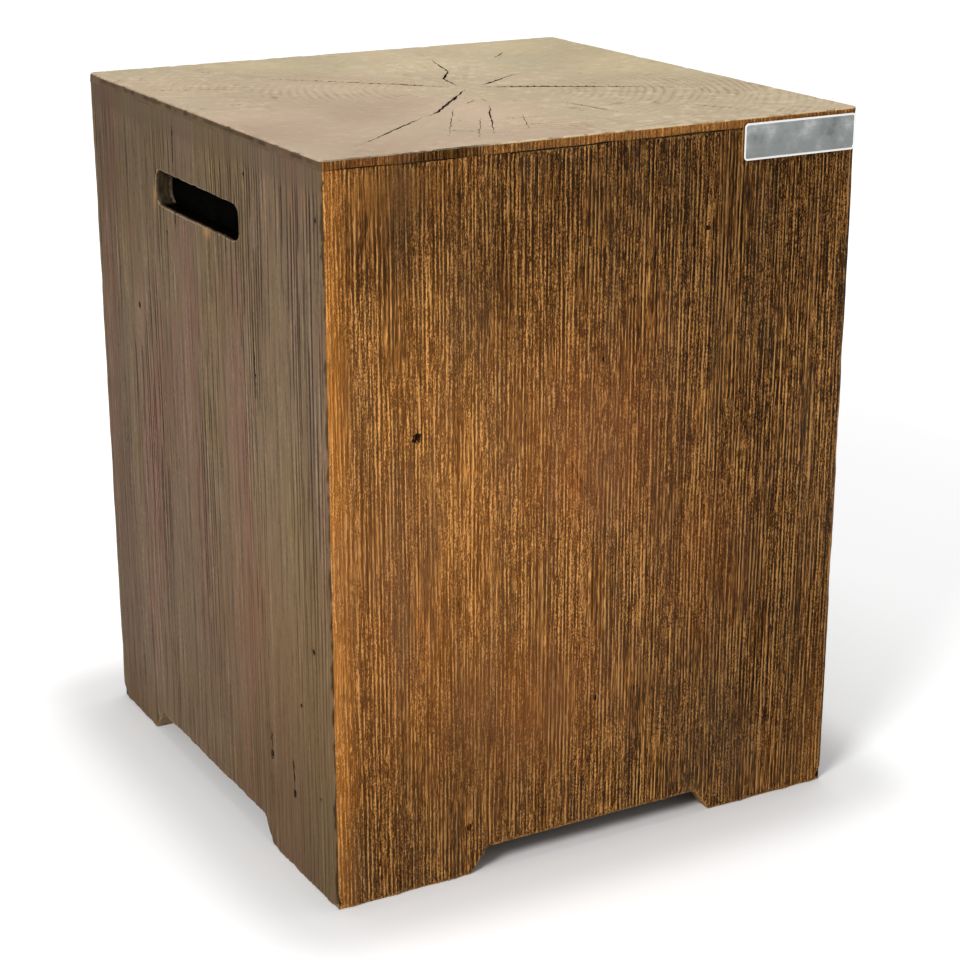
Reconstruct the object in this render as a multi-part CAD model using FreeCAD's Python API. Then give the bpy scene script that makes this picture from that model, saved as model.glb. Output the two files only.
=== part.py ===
# Propane tank cover table: a square box, open below, lowered over a gas tank to serve as a side table.
# Five cast panels with a wood-grained face: four mitred walls, and a top slab that steps down between them.
# Steel angles, screwed into inserts cast in the panels, tie the corners and the slab from inside.
# Frame: origin on the floor at the centre of the footprint, +Z up, front towards -Y. Millimetres.

import FreeCAD, Part
import math
import os

# Whole cover
width = 406.0
depth = 406.0
height = 508.0
wall = 14.0
corner_radius = 6.0

# Top slab and the adhesive bed under its edge
slab_edge = 6.5
slab_step = 9.5
slab_clearance = 1.0
slab_step_radius = 4.0
slab_arris = 1.5
bed_thickness = 2.5
bed_recess = 3.0

# Mitred corners: the panels touch at the outer toe and are glued behind it
mitre_toe = 5.0
mitre_bond = 0.8
bond_rise = 3.0

# The grain's main relief on the front and back walls: long shallow hollows between hard ridges, of uneven widths
hollow_count = 11
hollow_depth = 0.9
hollow_margin = 12.0
ridge_land = 1.6
hollow_unevenness = 0.3
hollow_phase = 2.4

# Hand-holds in the side walls
slot_length = 147.0
slot_height = 25.0
slot_radius = 9.0
slot_below_top = 63.5
slot_arris = 1.2

# Cut-outs between the feet
arch_rise = 18.0
arch_slope = 13.0
arch_radius = 7.0
end_foot = 103.0
side_foot_front = 106.0
side_foot_back = 74.0

# Steel angles in the corners
angle_leg = 30.0
angle_thickness = 2.5
angle_inner_bend = 1.0
angle_from_floor = 32.0
angle_below_slab = 4.0
angle_screw_inset = 18.0
angle_screw_margin = 35.0
angle_screw_rows = 3

# Steel cleats under the slab
cleat_leg = 25.0
cleat_thickness = 2.0
cleat_inner_bend = 1.0
cleat_end_gap = 29.0
cleat_screw_inset = 15.0
cleat_screw_margin = 30.0

# Screws and the hexagonal inserts cast in the panels
screw_diameter = 5.0
screw_length = 10.0
screw_head_flats = 8.0
screw_head_height = 3.5
screw_hole_clearance = 0.25
insert_flats = 8.0
insert_length = 10.0
insert_bottom = 1.2
thread_clearance = 0.05
# There are forty screws, so each shank, bore and hole is drawn with this many sides
small_round_sides = 12

# Blank metal badge at the front's top right corner
badge_width = 92.5
badge_height = 25.0
badge_thickness = 1.2
badge_radius = 3.0
badge_rim = 1.6
badge_dish = 0.4
badge_from_side = 3.7
badge_from_top = 3.5
badge_land = 1.5
pad_thickness = 0.5
pad_inset = 2.5

# Levels and inner sizes that follow from the values above
seat_level = height - slab_edge
wall_top = seat_level - bed_thickness
slab_underside = seat_level - slab_step
inner_width = width - 2 * wall
inner_depth = depth - 2 * wall
angle_top = slab_underside - angle_below_slab

# Each wall is drawn as the front one, then turned about Z to its side
wall_turns = {"front": 0, "right": 90, "back": 180, "left": -90}
wall_spans = {"front": width, "right": depth, "back": width, "left": depth}
wall_reach = {"front": depth / 2, "right": width / 2, "back": depth / 2, "left": width / 2}

# Foot widths at the two ends of each wall, left end first as seen from outside
wall_feet = {
    "front": (end_foot, end_foot),
    "right": (side_foot_front, side_foot_back),
    "back": (end_foot, end_foot),
    "left": (side_foot_back, side_foot_front),
}

# Inner corners: sign of X, sign of Y and the wall whose turn brings an angle's legs along both walls
corners = {
    "front_left": (-1, -1, "front"),
    "front_right": (1, -1, "right"),
    "back_right": (1, 1, "back"),
    "back_left": (-1, 1, "left"),
}

up = FreeCAD.Vector(0, 0, 1)
origin = FreeCAD.Vector(0, 0, 0)


def vector(x, y, z=0.0):
    return FreeCAD.Vector(x, y, z)


def turned(shape, degrees):
    copy = shape.copy()
    copy.rotate(origin, up, degrees)
    return copy


def moved(shape, x, y, z=0.0):
    copy = shape.copy()
    copy.translate(vector(x, y, z))
    return copy


def turned_vector(v, degrees):
    return FreeCAD.Rotation(up, degrees).multVec(v)


def aimed(shape, point, direction):
    """Carries a shape drawn along +Z from the origin so that it starts at point and runs along direction."""
    copy = shape.copy()
    copy.Placement = FreeCAD.Placement(point, FreeCAD.Rotation(up, direction)).multiply(copy.Placement)
    return copy


def prism(points, along):
    """A straight solid from a closed outline of corner points."""
    wire = Part.makePolygon(points + [points[0]])
    return Part.Face(wire).extrude(along)


def rounded_block(span_x, span_y, radius, low, high):
    """A block centred on Z whose four upright edges are rounded; with no radius left they stay square."""
    block = Part.makeBox(span_x, span_y, high - low, vector(-span_x / 2, -span_y / 2, low))
    upright = [e for e in block.Edges if abs(e.Vertexes[0].Z - e.Vertexes[1].Z) > 1e-6]
    return block.makeFillet(radius, upright) if radius > 0 else block


def bar(sides, flats, length):
    """A regular bar along +Z, measured across its flats."""
    reach = flats / 2 / math.cos(math.pi / sides)
    turns = [2 * math.pi * i / sides for i in range(sides)]
    return prism([vector(reach * math.cos(a), reach * math.sin(a)) for a in turns], vector(0, 0, length))


# Screws and inserts


def screw():
    """A hexagon-head screw: its head seats at the origin and its shank runs along +Z."""
    head = moved(bar(6, screw_head_flats, screw_head_height), 0, 0, -screw_head_height)
    corner_to_flat = math.cos(math.pi / small_round_sides)
    shank = bar(small_round_sides, screw_diameter * corner_to_flat, screw_length)
    return head.fuse(shank)


def insert_blank():
    """The outside of a cast-in insert, which is also the pocket that it fills in its panel."""
    return bar(6, insert_flats, insert_length)


def insert():
    bore = bar(small_round_sides, screw_diameter + 2 * thread_clearance, insert_length - insert_bottom)
    return insert_blank().cut(bore)


def screw_hole(plate):
    """The cutter for a screw's hole through a steel plate, longer than the plate on both sides."""
    hole = bar(small_round_sides, screw_diameter + 2 * screw_hole_clearance, plate * 3)
    return moved(hole, 0, 0, -plate * 1.5)


# Where the fasteners go: each spot is a point on a panel's inner face and the direction into the panel


def corner_rows():
    first = angle_from_floor + angle_screw_margin
    last = angle_top - angle_screw_margin
    pitch = (last - first) / max(angle_screw_rows - 1, 1)
    return [first + pitch * i for i in range(angle_screw_rows)]


def corner_spots(name):
    sign_x, sign_y, side = corners[name]
    turn = wall_turns[side]
    corner = vector(sign_x * inner_width / 2, sign_y * inner_depth / 2)
    spots = []
    for z in corner_rows():
        for leg, into in ((vector(1, 0), vector(0, -1)), (vector(0, 1), vector(-1, 0))):
            point = corner + turned_vector(leg * angle_screw_inset, turn) + vector(0, 0, z)
            spots.append((point, turned_vector(into, turn)))
    return spots


def cleat_length(side):
    return wall_spans[side] - 2 * (wall + angle_leg + cleat_end_gap)


def cleat_ends(side):
    half = cleat_length(side) / 2 - cleat_screw_margin
    return (-half, half)


def cleat_wall_spots(side):
    face = wall - wall_reach[side]
    points = [vector(x, face, slab_underside - cleat_screw_inset) for x in cleat_ends(side)]
    into = turned_vector(vector(0, -1), wall_turns[side])
    return [(turned_vector(p, wall_turns[side]), into) for p in points]


def cleat_slab_spots(side):
    line = wall - wall_reach[side] + cleat_screw_inset
    points = [vector(x, line, slab_underside) for x in cleat_ends(side)]
    return [(turned_vector(p, wall_turns[side]), up) for p in points]


def at_spots(shape, spots, back=0.0):
    """One copy of shape at each spot, drawn back from the panel's face by the thickness it passes through."""
    return [aimed(shape, point - into * back, into) for point, into in spots]


all_corner_spots = [spot for name in corners for spot in corner_spots(name)]
all_cleat_wall_spots = [spot for side in wall_turns for spot in cleat_wall_spots(side)]
all_slab_spots = [spot for side in wall_turns for spot in cleat_slab_spots(side)]


# Walls


def wall_ring():
    """The four walls and their glue lines as one ring, before it is parted at the mitres."""
    outside = rounded_block(width, depth, corner_radius, 0, wall_top)
    return outside.cut(rounded_block(inner_width, inner_depth, 0, 0, wall_top))


def mitre_wedge(side):
    """One wall's stretch of the ring: full width at the toe, set back by half the bond behind it."""
    half = wall_spans[side] / 2
    face = -wall_reach[side]
    step = mitre_bond / 2 * math.sqrt(2)
    deep = wall * 1.5
    left_end = [
        vector(-half + step + deep, face + deep),
        vector(-half + step + mitre_toe, face + mitre_toe),
        vector(-half + mitre_toe, face + mitre_toe),
        vector(-half, face),
    ]
    right_end = [vector(-p.x, p.y) for p in reversed(left_end)]
    return turned(prism(left_end + right_end, vector(0, 0, height)), wall_turns[side])


def foot_arch(side):
    """The low cut-out between two feet: sloped ends, rounded where they meet its flat top."""
    half = wall_spans[side] / 2
    face = -wall_reach[side]
    foot_left, foot_right = wall_feet[side]
    low_left = -half + foot_left
    low_right = half - foot_right
    slope = arch_slope / arch_rise
    below = wall
    outline = [
        vector(low_left - below * slope, face - wall, -below),
        vector(low_left + arch_slope, face - wall, arch_rise),
        vector(low_right - arch_slope, face - wall, arch_rise),
        vector(low_right + below * slope, face - wall, -below),
    ]
    cut = prism(outline, vector(0, 3 * wall, 0))
    upper = [e for e in cut.Edges if all(abs(v.Z - arch_rise) < 1e-6 for v in e.Vertexes)]
    through = [e for e in upper if abs(e.Vertexes[0].X - e.Vertexes[1].X) < 1e-6]
    return turned(cut.makeFillet(arch_radius, through), wall_turns[side])


def hand_slot(side):
    """A round-cornered slot through a side wall, its rims eased for the fingers."""
    face = -wall_reach[side]
    bottom = height - slot_below_top - slot_height / 2
    block = Part.makeBox(slot_length, wall, slot_height, vector(-slot_length / 2, face, bottom))
    through = [e for e in block.Edges if abs(e.Vertexes[0].Y - e.Vertexes[1].Y) > 1e-6]
    slot = block.makeFillet(slot_radius, through)
    flares = [slot_flare(slot, face, 1), slot_flare(slot, face + wall, -1)]
    return turned(slot.fuse(flares), wall_turns[side])


def slot_flare(slot, face, inward):
    """The bevelled rim of the slot at one face of the wall."""
    rim = [f for f in slot.Faces if abs(f.CenterOfMass.y - face) < 1e-6][0].OuterWire
    narrow = rim.copy()
    narrow.translate(vector(0, inward * slot_arris, 0))
    return Part.makeLoft([rim.makeOffset2D(slot_arris), narrow], True, True)


def ridge_lines(side):
    """Where the hard ridges stand along a wall, from the edge of one smooth end strip to the other."""
    span = wall_spans[side] - 2 * hollow_margin
    shares = [1 + hollow_unevenness * math.sin(hollow_phase * i) for i in range(hollow_count)]
    lines = [-span / 2]
    for share in shares:
        lines.append(lines[-1] + span * share / sum(shares))
    return lines


def grain_hollows(side):
    """Cutters for a wall's hollows, each a shallow arc in plan that runs the wall's full height."""
    face = -wall_reach[side]
    lines = ridge_lines(side)
    cutters = []
    for start, end in zip(lines, lines[1:]):
        left = start + ridge_land / 2
        right = end - ridge_land / 2
        arc = Part.Arc(vector(left, face), vector((left + right) / 2, face + hollow_depth), vector(right, face))
        outside = Part.makePolygon([
            vector(right, face), vector(right, face - wall), vector(left, face - wall), vector(left, face),
        ])
        section = Part.Face(Part.Wire([arc.toShape()] + outside.Edges))
        cutters.append(turned(section.extrude(vector(0, 0, height)), wall_turns[side]))
    return cutters


def walls():
    ring = wall_ring()
    # The panel stays flat where the badge sits
    badge_seat = badge_block(-badge_land, -wall, wall)
    pockets = at_spots(insert_blank(), all_corner_spots + all_cleat_wall_spots)
    shapes = {}
    for side in wall_turns:
        cuts = [foot_arch(side)] + pockets
        if side in ("left", "right"):
            cuts.append(hand_slot(side))
        else:
            cuts += [hollow.cut(badge_seat) for hollow in grain_hollows(side)]
        shapes[side + "_wall"] = ring.common(mitre_wedge(side)).cut(cuts)
    return shapes


def mitre_bonds():
    """The glue left between the walls: what the wedges leave of the ring, one strip in each corner."""
    strips = wall_ring().cut([mitre_wedge(side) for side in wall_turns])
    below = rounded_block(width, depth, 0, 0, bond_rise)
    shapes = {}
    for solid in strips.cut(below).Solids:
        centre = solid.CenterOfMass
        for name, (sign_x, sign_y, _) in corners.items():
            if centre.x * sign_x > 0 and centre.y * sign_y > 0:
                shapes["mitre_bond_" + name] = solid
    return shapes


# Top slab and its bed


def top_slab():
    plate = rounded_block(width, depth, corner_radius, seat_level, height)
    rim_edges = [e for e in plate.Edges if all(abs(v.Z - height) < 1e-6 for v in e.Vertexes)]
    plate = plate.makeChamfer(slab_arris, rim_edges)
    step = rounded_block(
        inner_width - 2 * slab_clearance, inner_depth - 2 * slab_clearance,
        slab_step_radius, slab_underside, seat_level,
    )
    return plate.fuse(step).cut(at_spots(insert_blank(), all_slab_spots)).removeSplitter()


def slab_bed():
    radius = corner_radius - bed_recess
    outside = rounded_block(width - 2 * bed_recess, depth - 2 * bed_recess, radius, wall_top, seat_level)
    return outside.cut(rounded_block(inner_width, inner_depth, 0, wall_top, seat_level))


# Steel angles


def folded_angle(leg, thickness, inner_bend, length):
    """A folded angle along +Z with its legs along +X and +Y, its outer faces on the axes."""
    outer = Part.makeBox(leg, leg, length)
    inner = Part.makeBox(leg, leg, length, vector(thickness, thickness, 0))
    fold = [e for e in outer.Edges if edge_at(e, 0, 0)]
    hollow = [e for e in inner.Edges if edge_at(e, thickness, thickness)]
    return outer.makeFillet(inner_bend + thickness, fold).cut(inner.makeFillet(inner_bend, hollow))


def edge_at(edge, x, y):
    return all(abs(v.X - x) < 1e-6 and abs(v.Y - y) < 1e-6 for v in edge.Vertexes)


def corner_angles():
    blank = folded_angle(angle_leg, angle_thickness, angle_inner_bend, angle_top - angle_from_floor)
    shapes = {}
    for name, (sign_x, sign_y, side) in corners.items():
        corner_x = sign_x * inner_width / 2
        corner_y = sign_y * inner_depth / 2
        seated = moved(turned(blank, wall_turns[side]), corner_x, corner_y, angle_from_floor)
        holes = at_spots(screw_hole(angle_thickness), corner_spots(name))
        shapes["corner_angle_" + name] = seated.cut(holes)
    return shapes


def top_cleats():
    shapes = {}
    for side, turn in wall_turns.items():
        length = cleat_length(side)
        blank = folded_angle(cleat_leg, cleat_thickness, cleat_inner_bend, length)
        # Laid along X: one leg against the wall's inner face, the other flat under the slab
        blank.rotate(origin, vector(0, 1, 0), 90)
        seated = turned(moved(blank, -length / 2, wall - wall_reach[side], slab_underside), turn)
        holes = at_spots(screw_hole(cleat_thickness), cleat_wall_spots(side) + cleat_slab_spots(side))
        shapes["top_cleat_" + side] = seated.cut(holes)
    return shapes


# Badge


def badge_block(inset, low, high):
    """A round-cornered plate parallel to the front, between two distances out from the front face."""
    span_x = badge_width - 2 * inset
    span_z = badge_height - 2 * inset
    block = rounded_block(span_x, span_z, badge_radius - inset, low, high)
    block.rotate(origin, vector(1, 0, 0), 90)
    centre_x = width / 2 - badge_from_side - badge_width / 2
    centre_z = height - badge_from_top - badge_height / 2
    return moved(block, centre_x, -depth / 2, centre_z)


def badge_plate():
    face = pad_thickness + badge_thickness
    dish = badge_block(badge_rim, face - badge_dish, face + badge_dish)
    return badge_block(0, pad_thickness, face).cut(dish)


def badge_pad():
    return badge_block(pad_inset, 0, pad_thickness)


def fasteners():
    one_screw = screw()
    one_insert = insert()
    groups = {
        "corner_screws": at_spots(one_screw, all_corner_spots, angle_thickness),
        "cleat_wall_screws": at_spots(one_screw, all_cleat_wall_spots, cleat_thickness),
        "slab_screws": at_spots(one_screw, all_slab_spots, cleat_thickness),
        "corner_inserts": at_spots(one_insert, all_corner_spots),
        "cleat_wall_inserts": at_spots(one_insert, all_cleat_wall_spots),
        "slab_inserts": at_spots(one_insert, all_slab_spots),
    }
    return {name: Part.makeCompound(solids) for name, solids in groups.items()}


def main():
    os.makedirs("parts", exist_ok=True)
    nodes = {"top_slab": top_slab(), "slab_bed": slab_bed()}
    nodes.update(walls())
    nodes.update(mitre_bonds())
    nodes.update(corner_angles())
    nodes.update(top_cleats())
    nodes.update(fasteners())
    nodes["badge_plate"] = badge_plate()
    nodes["badge_pad"] = badge_pad()
    for name, shape in nodes.items():
        shape.exportStep(f"parts/{name}.step")
        print(name, len(shape.Solids), "solids", round(shape.Volume / 1000, 2), "cm3", shape.isValid())


main()
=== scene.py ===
import math
import random

import bmesh
import bpy
from mathutils import Matrix, Vector, noise


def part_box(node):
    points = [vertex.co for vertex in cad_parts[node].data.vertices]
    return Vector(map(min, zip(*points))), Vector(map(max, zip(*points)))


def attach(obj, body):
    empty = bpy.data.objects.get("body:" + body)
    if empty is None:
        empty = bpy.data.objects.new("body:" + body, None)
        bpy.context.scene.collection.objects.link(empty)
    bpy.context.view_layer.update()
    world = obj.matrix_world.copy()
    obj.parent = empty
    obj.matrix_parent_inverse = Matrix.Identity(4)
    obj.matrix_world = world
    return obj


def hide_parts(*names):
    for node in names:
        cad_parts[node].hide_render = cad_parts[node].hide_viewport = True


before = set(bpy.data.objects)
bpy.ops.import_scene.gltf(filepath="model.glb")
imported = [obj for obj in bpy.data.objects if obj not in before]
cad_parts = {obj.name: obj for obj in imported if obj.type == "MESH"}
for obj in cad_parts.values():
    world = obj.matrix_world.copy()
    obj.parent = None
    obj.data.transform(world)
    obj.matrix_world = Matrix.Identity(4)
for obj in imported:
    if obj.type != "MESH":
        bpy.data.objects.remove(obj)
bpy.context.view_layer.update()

print("frame loaded:", len(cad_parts), "nodes")

# Sizes and levels read from the frame, in metres. The cover is square in plan.
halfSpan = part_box("top_slab")[1].x
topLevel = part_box("top_slab")[1].z
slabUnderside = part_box("top_slab")[0].z
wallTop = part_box("slab_bed")[0].z
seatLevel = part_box("slab_bed")[1].z
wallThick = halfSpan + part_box("corner_angle_front_left")[0].x
badgeLow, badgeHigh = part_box("badge_plate")


# Camera, lamps and floor

photoView = {
    "place": (-0.762, -1.397, 0.757),
    "turn": 29.24,       # degrees to the right of straight ahead
    "tilt": 18.9,        # degrees down
    "lens": 83.2,
}

studio = {
    "worldColour": (1.0, 1.0, 1.0),
    "worldLevel": 0.42,
    # Each lamp's place, size and power
    "lamps": {"key": ((-2.3, -1.5, 1.9), 1.0, 78), "overhead": ((0.3, 0.2, 2.6), 1.6, 22)},
    "floorColour": (0.80, 0.80, 0.80),
    # How much the camera alone adds to the floor, so that it is white away from the object, as shares of the
    # reach and the amount there. Near the object it adds nothing, which paints a soft shadow round the base.
    "paintedShadowReach": 1.6,
    "lift": [(0.0, 0.0), (0.012, 0.04), (0.055, 0.30), (0.20, 0.39), (1.0, 0.68)],
    "floorSize": 14.0,
}

bpy.context.scene.view_settings.view_transform = "Standard"


def addObject(name, data):
    made = bpy.data.objects.new(name, data)
    bpy.context.scene.collection.objects.link(made)
    return made


def setCamera(look):
    lens = bpy.data.cameras.new("camera")
    lens.lens = look["lens"]
    camera = addObject("camera", lens)
    camera.location = look["place"]
    camera.rotation_euler = (math.radians(90 - look["tilt"]), 0, math.radians(-look["turn"]))
    bpy.context.scene.camera = camera


def addLamp(name, place, size, power):
    lamp = bpy.data.lights.new(name, "AREA")
    lamp.shape = "DISK"
    lamp.size = size
    lamp.energy = power
    holder = addObject(name, lamp)
    holder.location = place
    aim = Vector((0, 0, topLevel / 2)) - Vector(place)
    holder.rotation_euler = aim.to_track_quat("-Z", "Y").to_euler()


def seenByCamera(tree):
    # 1 for rays that show the backdrop: straight from the camera, or by reflection or through glass
    path = addNode(tree, "LightPath", output="Is Camera Ray")
    direct = maths("MAXIMUM", path, path.beside("Is Glossy Ray"))
    return maths("MAXIMUM", direct, path.beside("Is Transmission Ray"))


def setWorld(look):
    world = bpy.data.worlds.new("studio")
    bpy.context.scene.world = world
    tree = emptyTree(world)
    lit = addNode(tree, "Background", {"Color": look["worldColour"], "Strength": look["worldLevel"]})
    shown = addNode(tree, "Background", {"Color": look["worldColour"]})
    backdrop = addNode(tree, "MixShader", {0: seenByCamera(tree), 1: lit, 2: shown})
    addNode(tree, "OutputWorld", {"Surface": backdrop})


def layFloor(look):
    material = bpy.data.materials.new("studioFloor")
    tree = emptyTree(material)
    away = addNode(tree, "TexCoord", output="Object")
    corner = (halfSpan, halfSpan, 0)
    for operation, other in (("ABSOLUTE", (0, 0, 0)), ("SUBTRACT", corner), ("MAXIMUM", (0, 0, 0))):
        away = vectorMaths(operation, away, other)
    away = vectorMaths("LENGTH", away, output="Value")
    stops = [(share, (amount,) * 3) for share, amount in look["lift"]]
    # The lift fades out towards the object: a painted shadow round its base, laid over the real one
    level = ramp(scaled(away, 1 / look["paintedShadowReach"]), stops)
    lift = addNode(tree, "Emission", {"Strength": seenByCamera(tree) * level})
    matt = addNode(tree, "BsdfDiffuse", {"Color": look["floorColour"]})
    lifted = addNode(tree, "AddShader", {0: matt, 1: lift})
    # From below the floor is clear, so that the underside can be looked at
    below = addNode(tree, "NewGeometry", output="Backfacing")
    sided = addNode(tree, "MixShader", {0: below, 1: lifted, 2: addNode(tree, "BsdfTransparent")})
    addNode(tree, "OutputMaterial", {"Surface": sided})
    shape = bmesh.new()
    bmesh.ops.create_grid(shape, x_segments=1, y_segments=1, size=look["floorSize"])
    addPiece("studio_floor", shape, [material])


# Node helpers


class Wire:
    # The output of a node. Sums and products of wires and numbers add the maths nodes that make them.
    def __init__(self, socket):
        self.socket = socket
        self.tree = socket.id_data

    def __add__(self, other):
        return maths("ADD", self, other)

    def __sub__(self, other):
        return maths("SUBTRACT", self, other)

    def __rsub__(self, other):
        return maths("SUBTRACT", other, self)

    def __mul__(self, other):
        return maths("MULTIPLY", self, other)

    def clamped(self):
        # Keeps the result between 0 and 1
        self.socket.node.use_clamp = True
        return self

    def beside(self, output):
        # Another output of the same node
        return Wire(self.socket.node.outputs[output])


def plug(value, socket):
    # Links a wire to a socket, or sets the socket's own value
    if isinstance(value, Wire):
        value.tree.links.new(value.socket, socket)
    else:
        socket.default_value = (*value, 1) if socket.type == "RGBA" else value


def addNode(tree, kind, inputs=None, output=0, **settings):
    # Adds a node with its settings and inputs, and gives back the wire of one output
    node = tree.nodes.new("ShaderNode" + kind)
    for name, setting in settings.items():
        setattr(node, name, setting)
    for place, value in (inputs or {}).items():
        plug(value, node.inputs[place])
    return Wire(node.outputs[output]) if node.outputs else None


def emptyTree(holder):
    # The cleared node tree of a material or of the world
    holder.use_nodes = True
    holder.node_tree.nodes.clear()
    return holder.node_tree


def maths(operation, *values):
    tree = [value.tree for value in values if isinstance(value, Wire)][0]
    return addNode(tree, "Math", dict(enumerate(values)), operation=operation)


def vectorMaths(operation, first, second=(0, 0, 0), output=0):
    return addNode(first.tree, "VectorMath", {0: first, 1: second}, output, operation=operation)


def scaled(value, amount, offset=0.0):
    # value * amount + offset, kept between 0 and 1
    return (value * amount + offset).clamped()


def mixed(share, first, second, blend="MIX"):
    inputs = {0: share, 6: first, 7: second}
    return addNode(first.tree, "Mix", inputs, 2, data_type="RGBA", blend_type=blend)


def ramp(share, stops):
    made = addNode(share.tree, "ValToRGB", {0: share})
    band = made.socket.node.color_ramp
    band.interpolation = "EASE"
    while len(band.elements) < len(stops):
        band.elements.new(0.5)
    for element, (place, colour) in zip(band.elements, stops):
        element.position = place
        element.color = (*colour, 1)
    return made


def noiseOn(place, scale, detail=2.0, roughness=0.5, distortion=0.0, output=0):
    inputs = {"Vector": place, "Scale": scale, "Detail": detail, "Roughness": roughness}
    return addNode(place.tree, "TexNoise", {**inputs, "Distortion": distortion}, output)


def stretchedNoise(place, scale, detail=2.0, roughness=0.5):
    # Noise whose scale differs along x, y and z
    return noiseOn(vectorMaths("MULTIPLY", place, scale), 1.0, detail, roughness)


def painted(place, name):
    # A value painted on the mesh's points, in the tree of this wire
    return addNode(place.tree, "Attribute", output="Fac", attribute_type="GEOMETRY", attribute_name=name)


def newGroup(name, numbers, outputs):
    # A node group that reads a vector and these numbers: itself, its inputs' wires and its outputs' sockets
    group = bpy.data.node_groups.new(name, "ShaderNodeTree")
    group.interface.new_socket(name="Vector", in_out="INPUT", socket_type="NodeSocketVector")
    for label, usual in numbers.items():
        socket = group.interface.new_socket(name=label, in_out="INPUT", socket_type="NodeSocketFloat")
        socket.default_value = usual
    for label in outputs:
        group.interface.new_socket(name=label, in_out="OUTPUT", socket_type="NodeSocketFloat")
    given = group.nodes.new("NodeGroupInput").outputs
    made = group.nodes.new("NodeGroupOutput").inputs
    return group, [Wire(given[label]) for label in ("Vector", *numbers)], made


def placed(group, **values):
    # Places a group in the tree of the vector that it is given, and gives back its outputs by name
    node = addNode(values["Vector"].tree, "Group", values, node_tree=group).socket.node
    return {socket.name: Wire(socket) for socket in node.outputs}


def newMaterial(name, plain):
    # A material, the inputs of its Principled shader with the plain values set, and the place on the piece
    material = bpy.data.materials.new(name)
    tree = emptyTree(material)
    shader = addNode(tree, "BsdfPrincipled", plain)
    addNode(tree, "OutputMaterial", {"Surface": shader})
    return material, shader.socket.node.inputs, addNode(tree, "TexCoord", output="Object")


def dress(shader, colour, roughness, height, bump):
    # Links a colour, a roughness and a height to the shader, the height by a bump's strength and distance
    inputs = {"Strength": bump[0], "Distance": bump[1], "Height": height}
    normal = addNode(height.tree, "Bump", inputs)
    for label, wire in (("Base Color", colour), ("Roughness", roughness), ("Normal", normal)):
        plug(wire, shader[label])


# Shared effects

streakShape = {
    "sway": 160.0,                   # scale of the noise that sways every streak
    # How much finer across and denser along than the panel's own scale, the detail, and the sway in metres
    "Streak": (1.0, 0.9, 1.5, 0.0005),
    "Fibre": (1.4, 7.0, 1.5, 0.0014),
    "Grit": (1.9, 60.0, 1.0, 0.0028),
    "Line": (1.3, 1.0, 1.0, 0.0006),
    "roughness": 0.62,
    "patches": (34, 34, 14),         # the grit is strong in some patches and hardly there in others
    "combPitch": 3.6,                # turns of the comb's wave, as a share of the panel's scale across
    "combDrifts": [((26, 26, 2.6), 20.0), ((220, 220, 30), 2.4)],
    "combFading": (260, 260, 24),
}


def makeGrainStreaks(look):
    # Streaks that run up the panel, shorter fibres and slanting grit between them, thin dark lines,
    # and the marks of a comb at a nearly even pitch
    kinds = ("Streak", "Fibre", "Grit", "Line")
    usual = {"Across": 600.0, "Along": 12.0}
    group, (place, across, along), made = newGroup("grainStreaks", usual, (*kinds, "Comb"))
    lean = vectorMaths("SUBTRACT", noiseOn(place, look["sway"], 1.0, output=1), (0.5, 0.5, 0.5))
    patches = scaled(stretchedNoise(place, look["patches"]), 6.0, -2.1)
    for label in kinds:
        finer, denser, detail, sway = look[label]
        fine = across * finer
        scale = addNode(group, "CombineXYZ", {0: fine, 1: fine, 2: along * denser})
        leant = vectorMaths("ADD", place, vectorMaths("MULTIPLY", lean, (sway, sway, 0)))
        streak = stretchedNoise(leant, scale, detail, look["roughness"])
        if label == "Line":
            level = scaled(maths("ABSOLUTE", streak - 0.5), -15.0, 1.0)
        elif label == "Grit":
            level = scaled((streak - 0.5) * patches, 3.0, 0.5)
        else:
            level = scaled(streak, 3.0, -1.0)
        plug(level, made[label])
    x = addNode(group, "SeparateXYZ", {0: place})
    turned = (x - x.beside("Y")) * across * look["combPitch"]
    for scale, drift in look["combDrifts"]:
        turned = turned + stretchedNoise(place, scale) * drift
    fading = scaled(stretchedNoise(place, look["combFading"]), 3.4, -1.1)
    plug(scaled(maths("SINE", turned) * fading, 0.5, 0.5), made["Comb"])
    return group


def makeMottle():
    # Cloudy patches and fine specks
    group, (place, size, grit), made = newGroup("mottle", {"Size": 20.0, "Grit": 900.0}, ("Cloud", "Speck"))
    for label, scale, gain in (("Cloud", size, 2.2), ("Speck", grit, 2.6)):
        plug(scaled(noiseOn(place, scale, 3.0), gain, 0.5 - gain / 2), made[label])
    return group


def makeEdgeWear():
    # Painted wear, and the painted highlights on some arrises, broken up by grit, so that its border is
    # ragged
    group, (place, wear, grit), made = newGroup("edgeWear", {"Wear": 0.0, "Grit": 350.0}, ("Mask",))
    broken = wear + (noiseOn(place, grit, 4.0) - 0.5)
    plug(((broken - 0.35) * 3.5).clamped(), made["Mask"])
    return group


grainStreaks = makeGrainStreaks(streakShape)
mottle = makeMottle()
edgeWear = makeEdgeWear()


# Finishes. Every painted value is 0 where nothing is painted: relief runs from a ridge to 1 in a groove, and
# grooves are painted darker, partly as dark grain and partly as painted shade; tone is darker below 0, and
# holds stains as well as painted shade inside the hand-holds and cracks and on the top's side rims; glow is
# golden stain, blush reddish stain, the wear value a rubbed edge and in places also a painted highlight on
# an arris; and smear is where the streaks are rubbed over. A pull is how far its pattern moves the colour
# along the ramp.

paintNames = ("relief", "tone", "glow", "blush", "wear", "smear")
mattCast = {"IOR": 1.45, "Specular IOR Level": 0.2}
edgeGrit = 420.0

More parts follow.
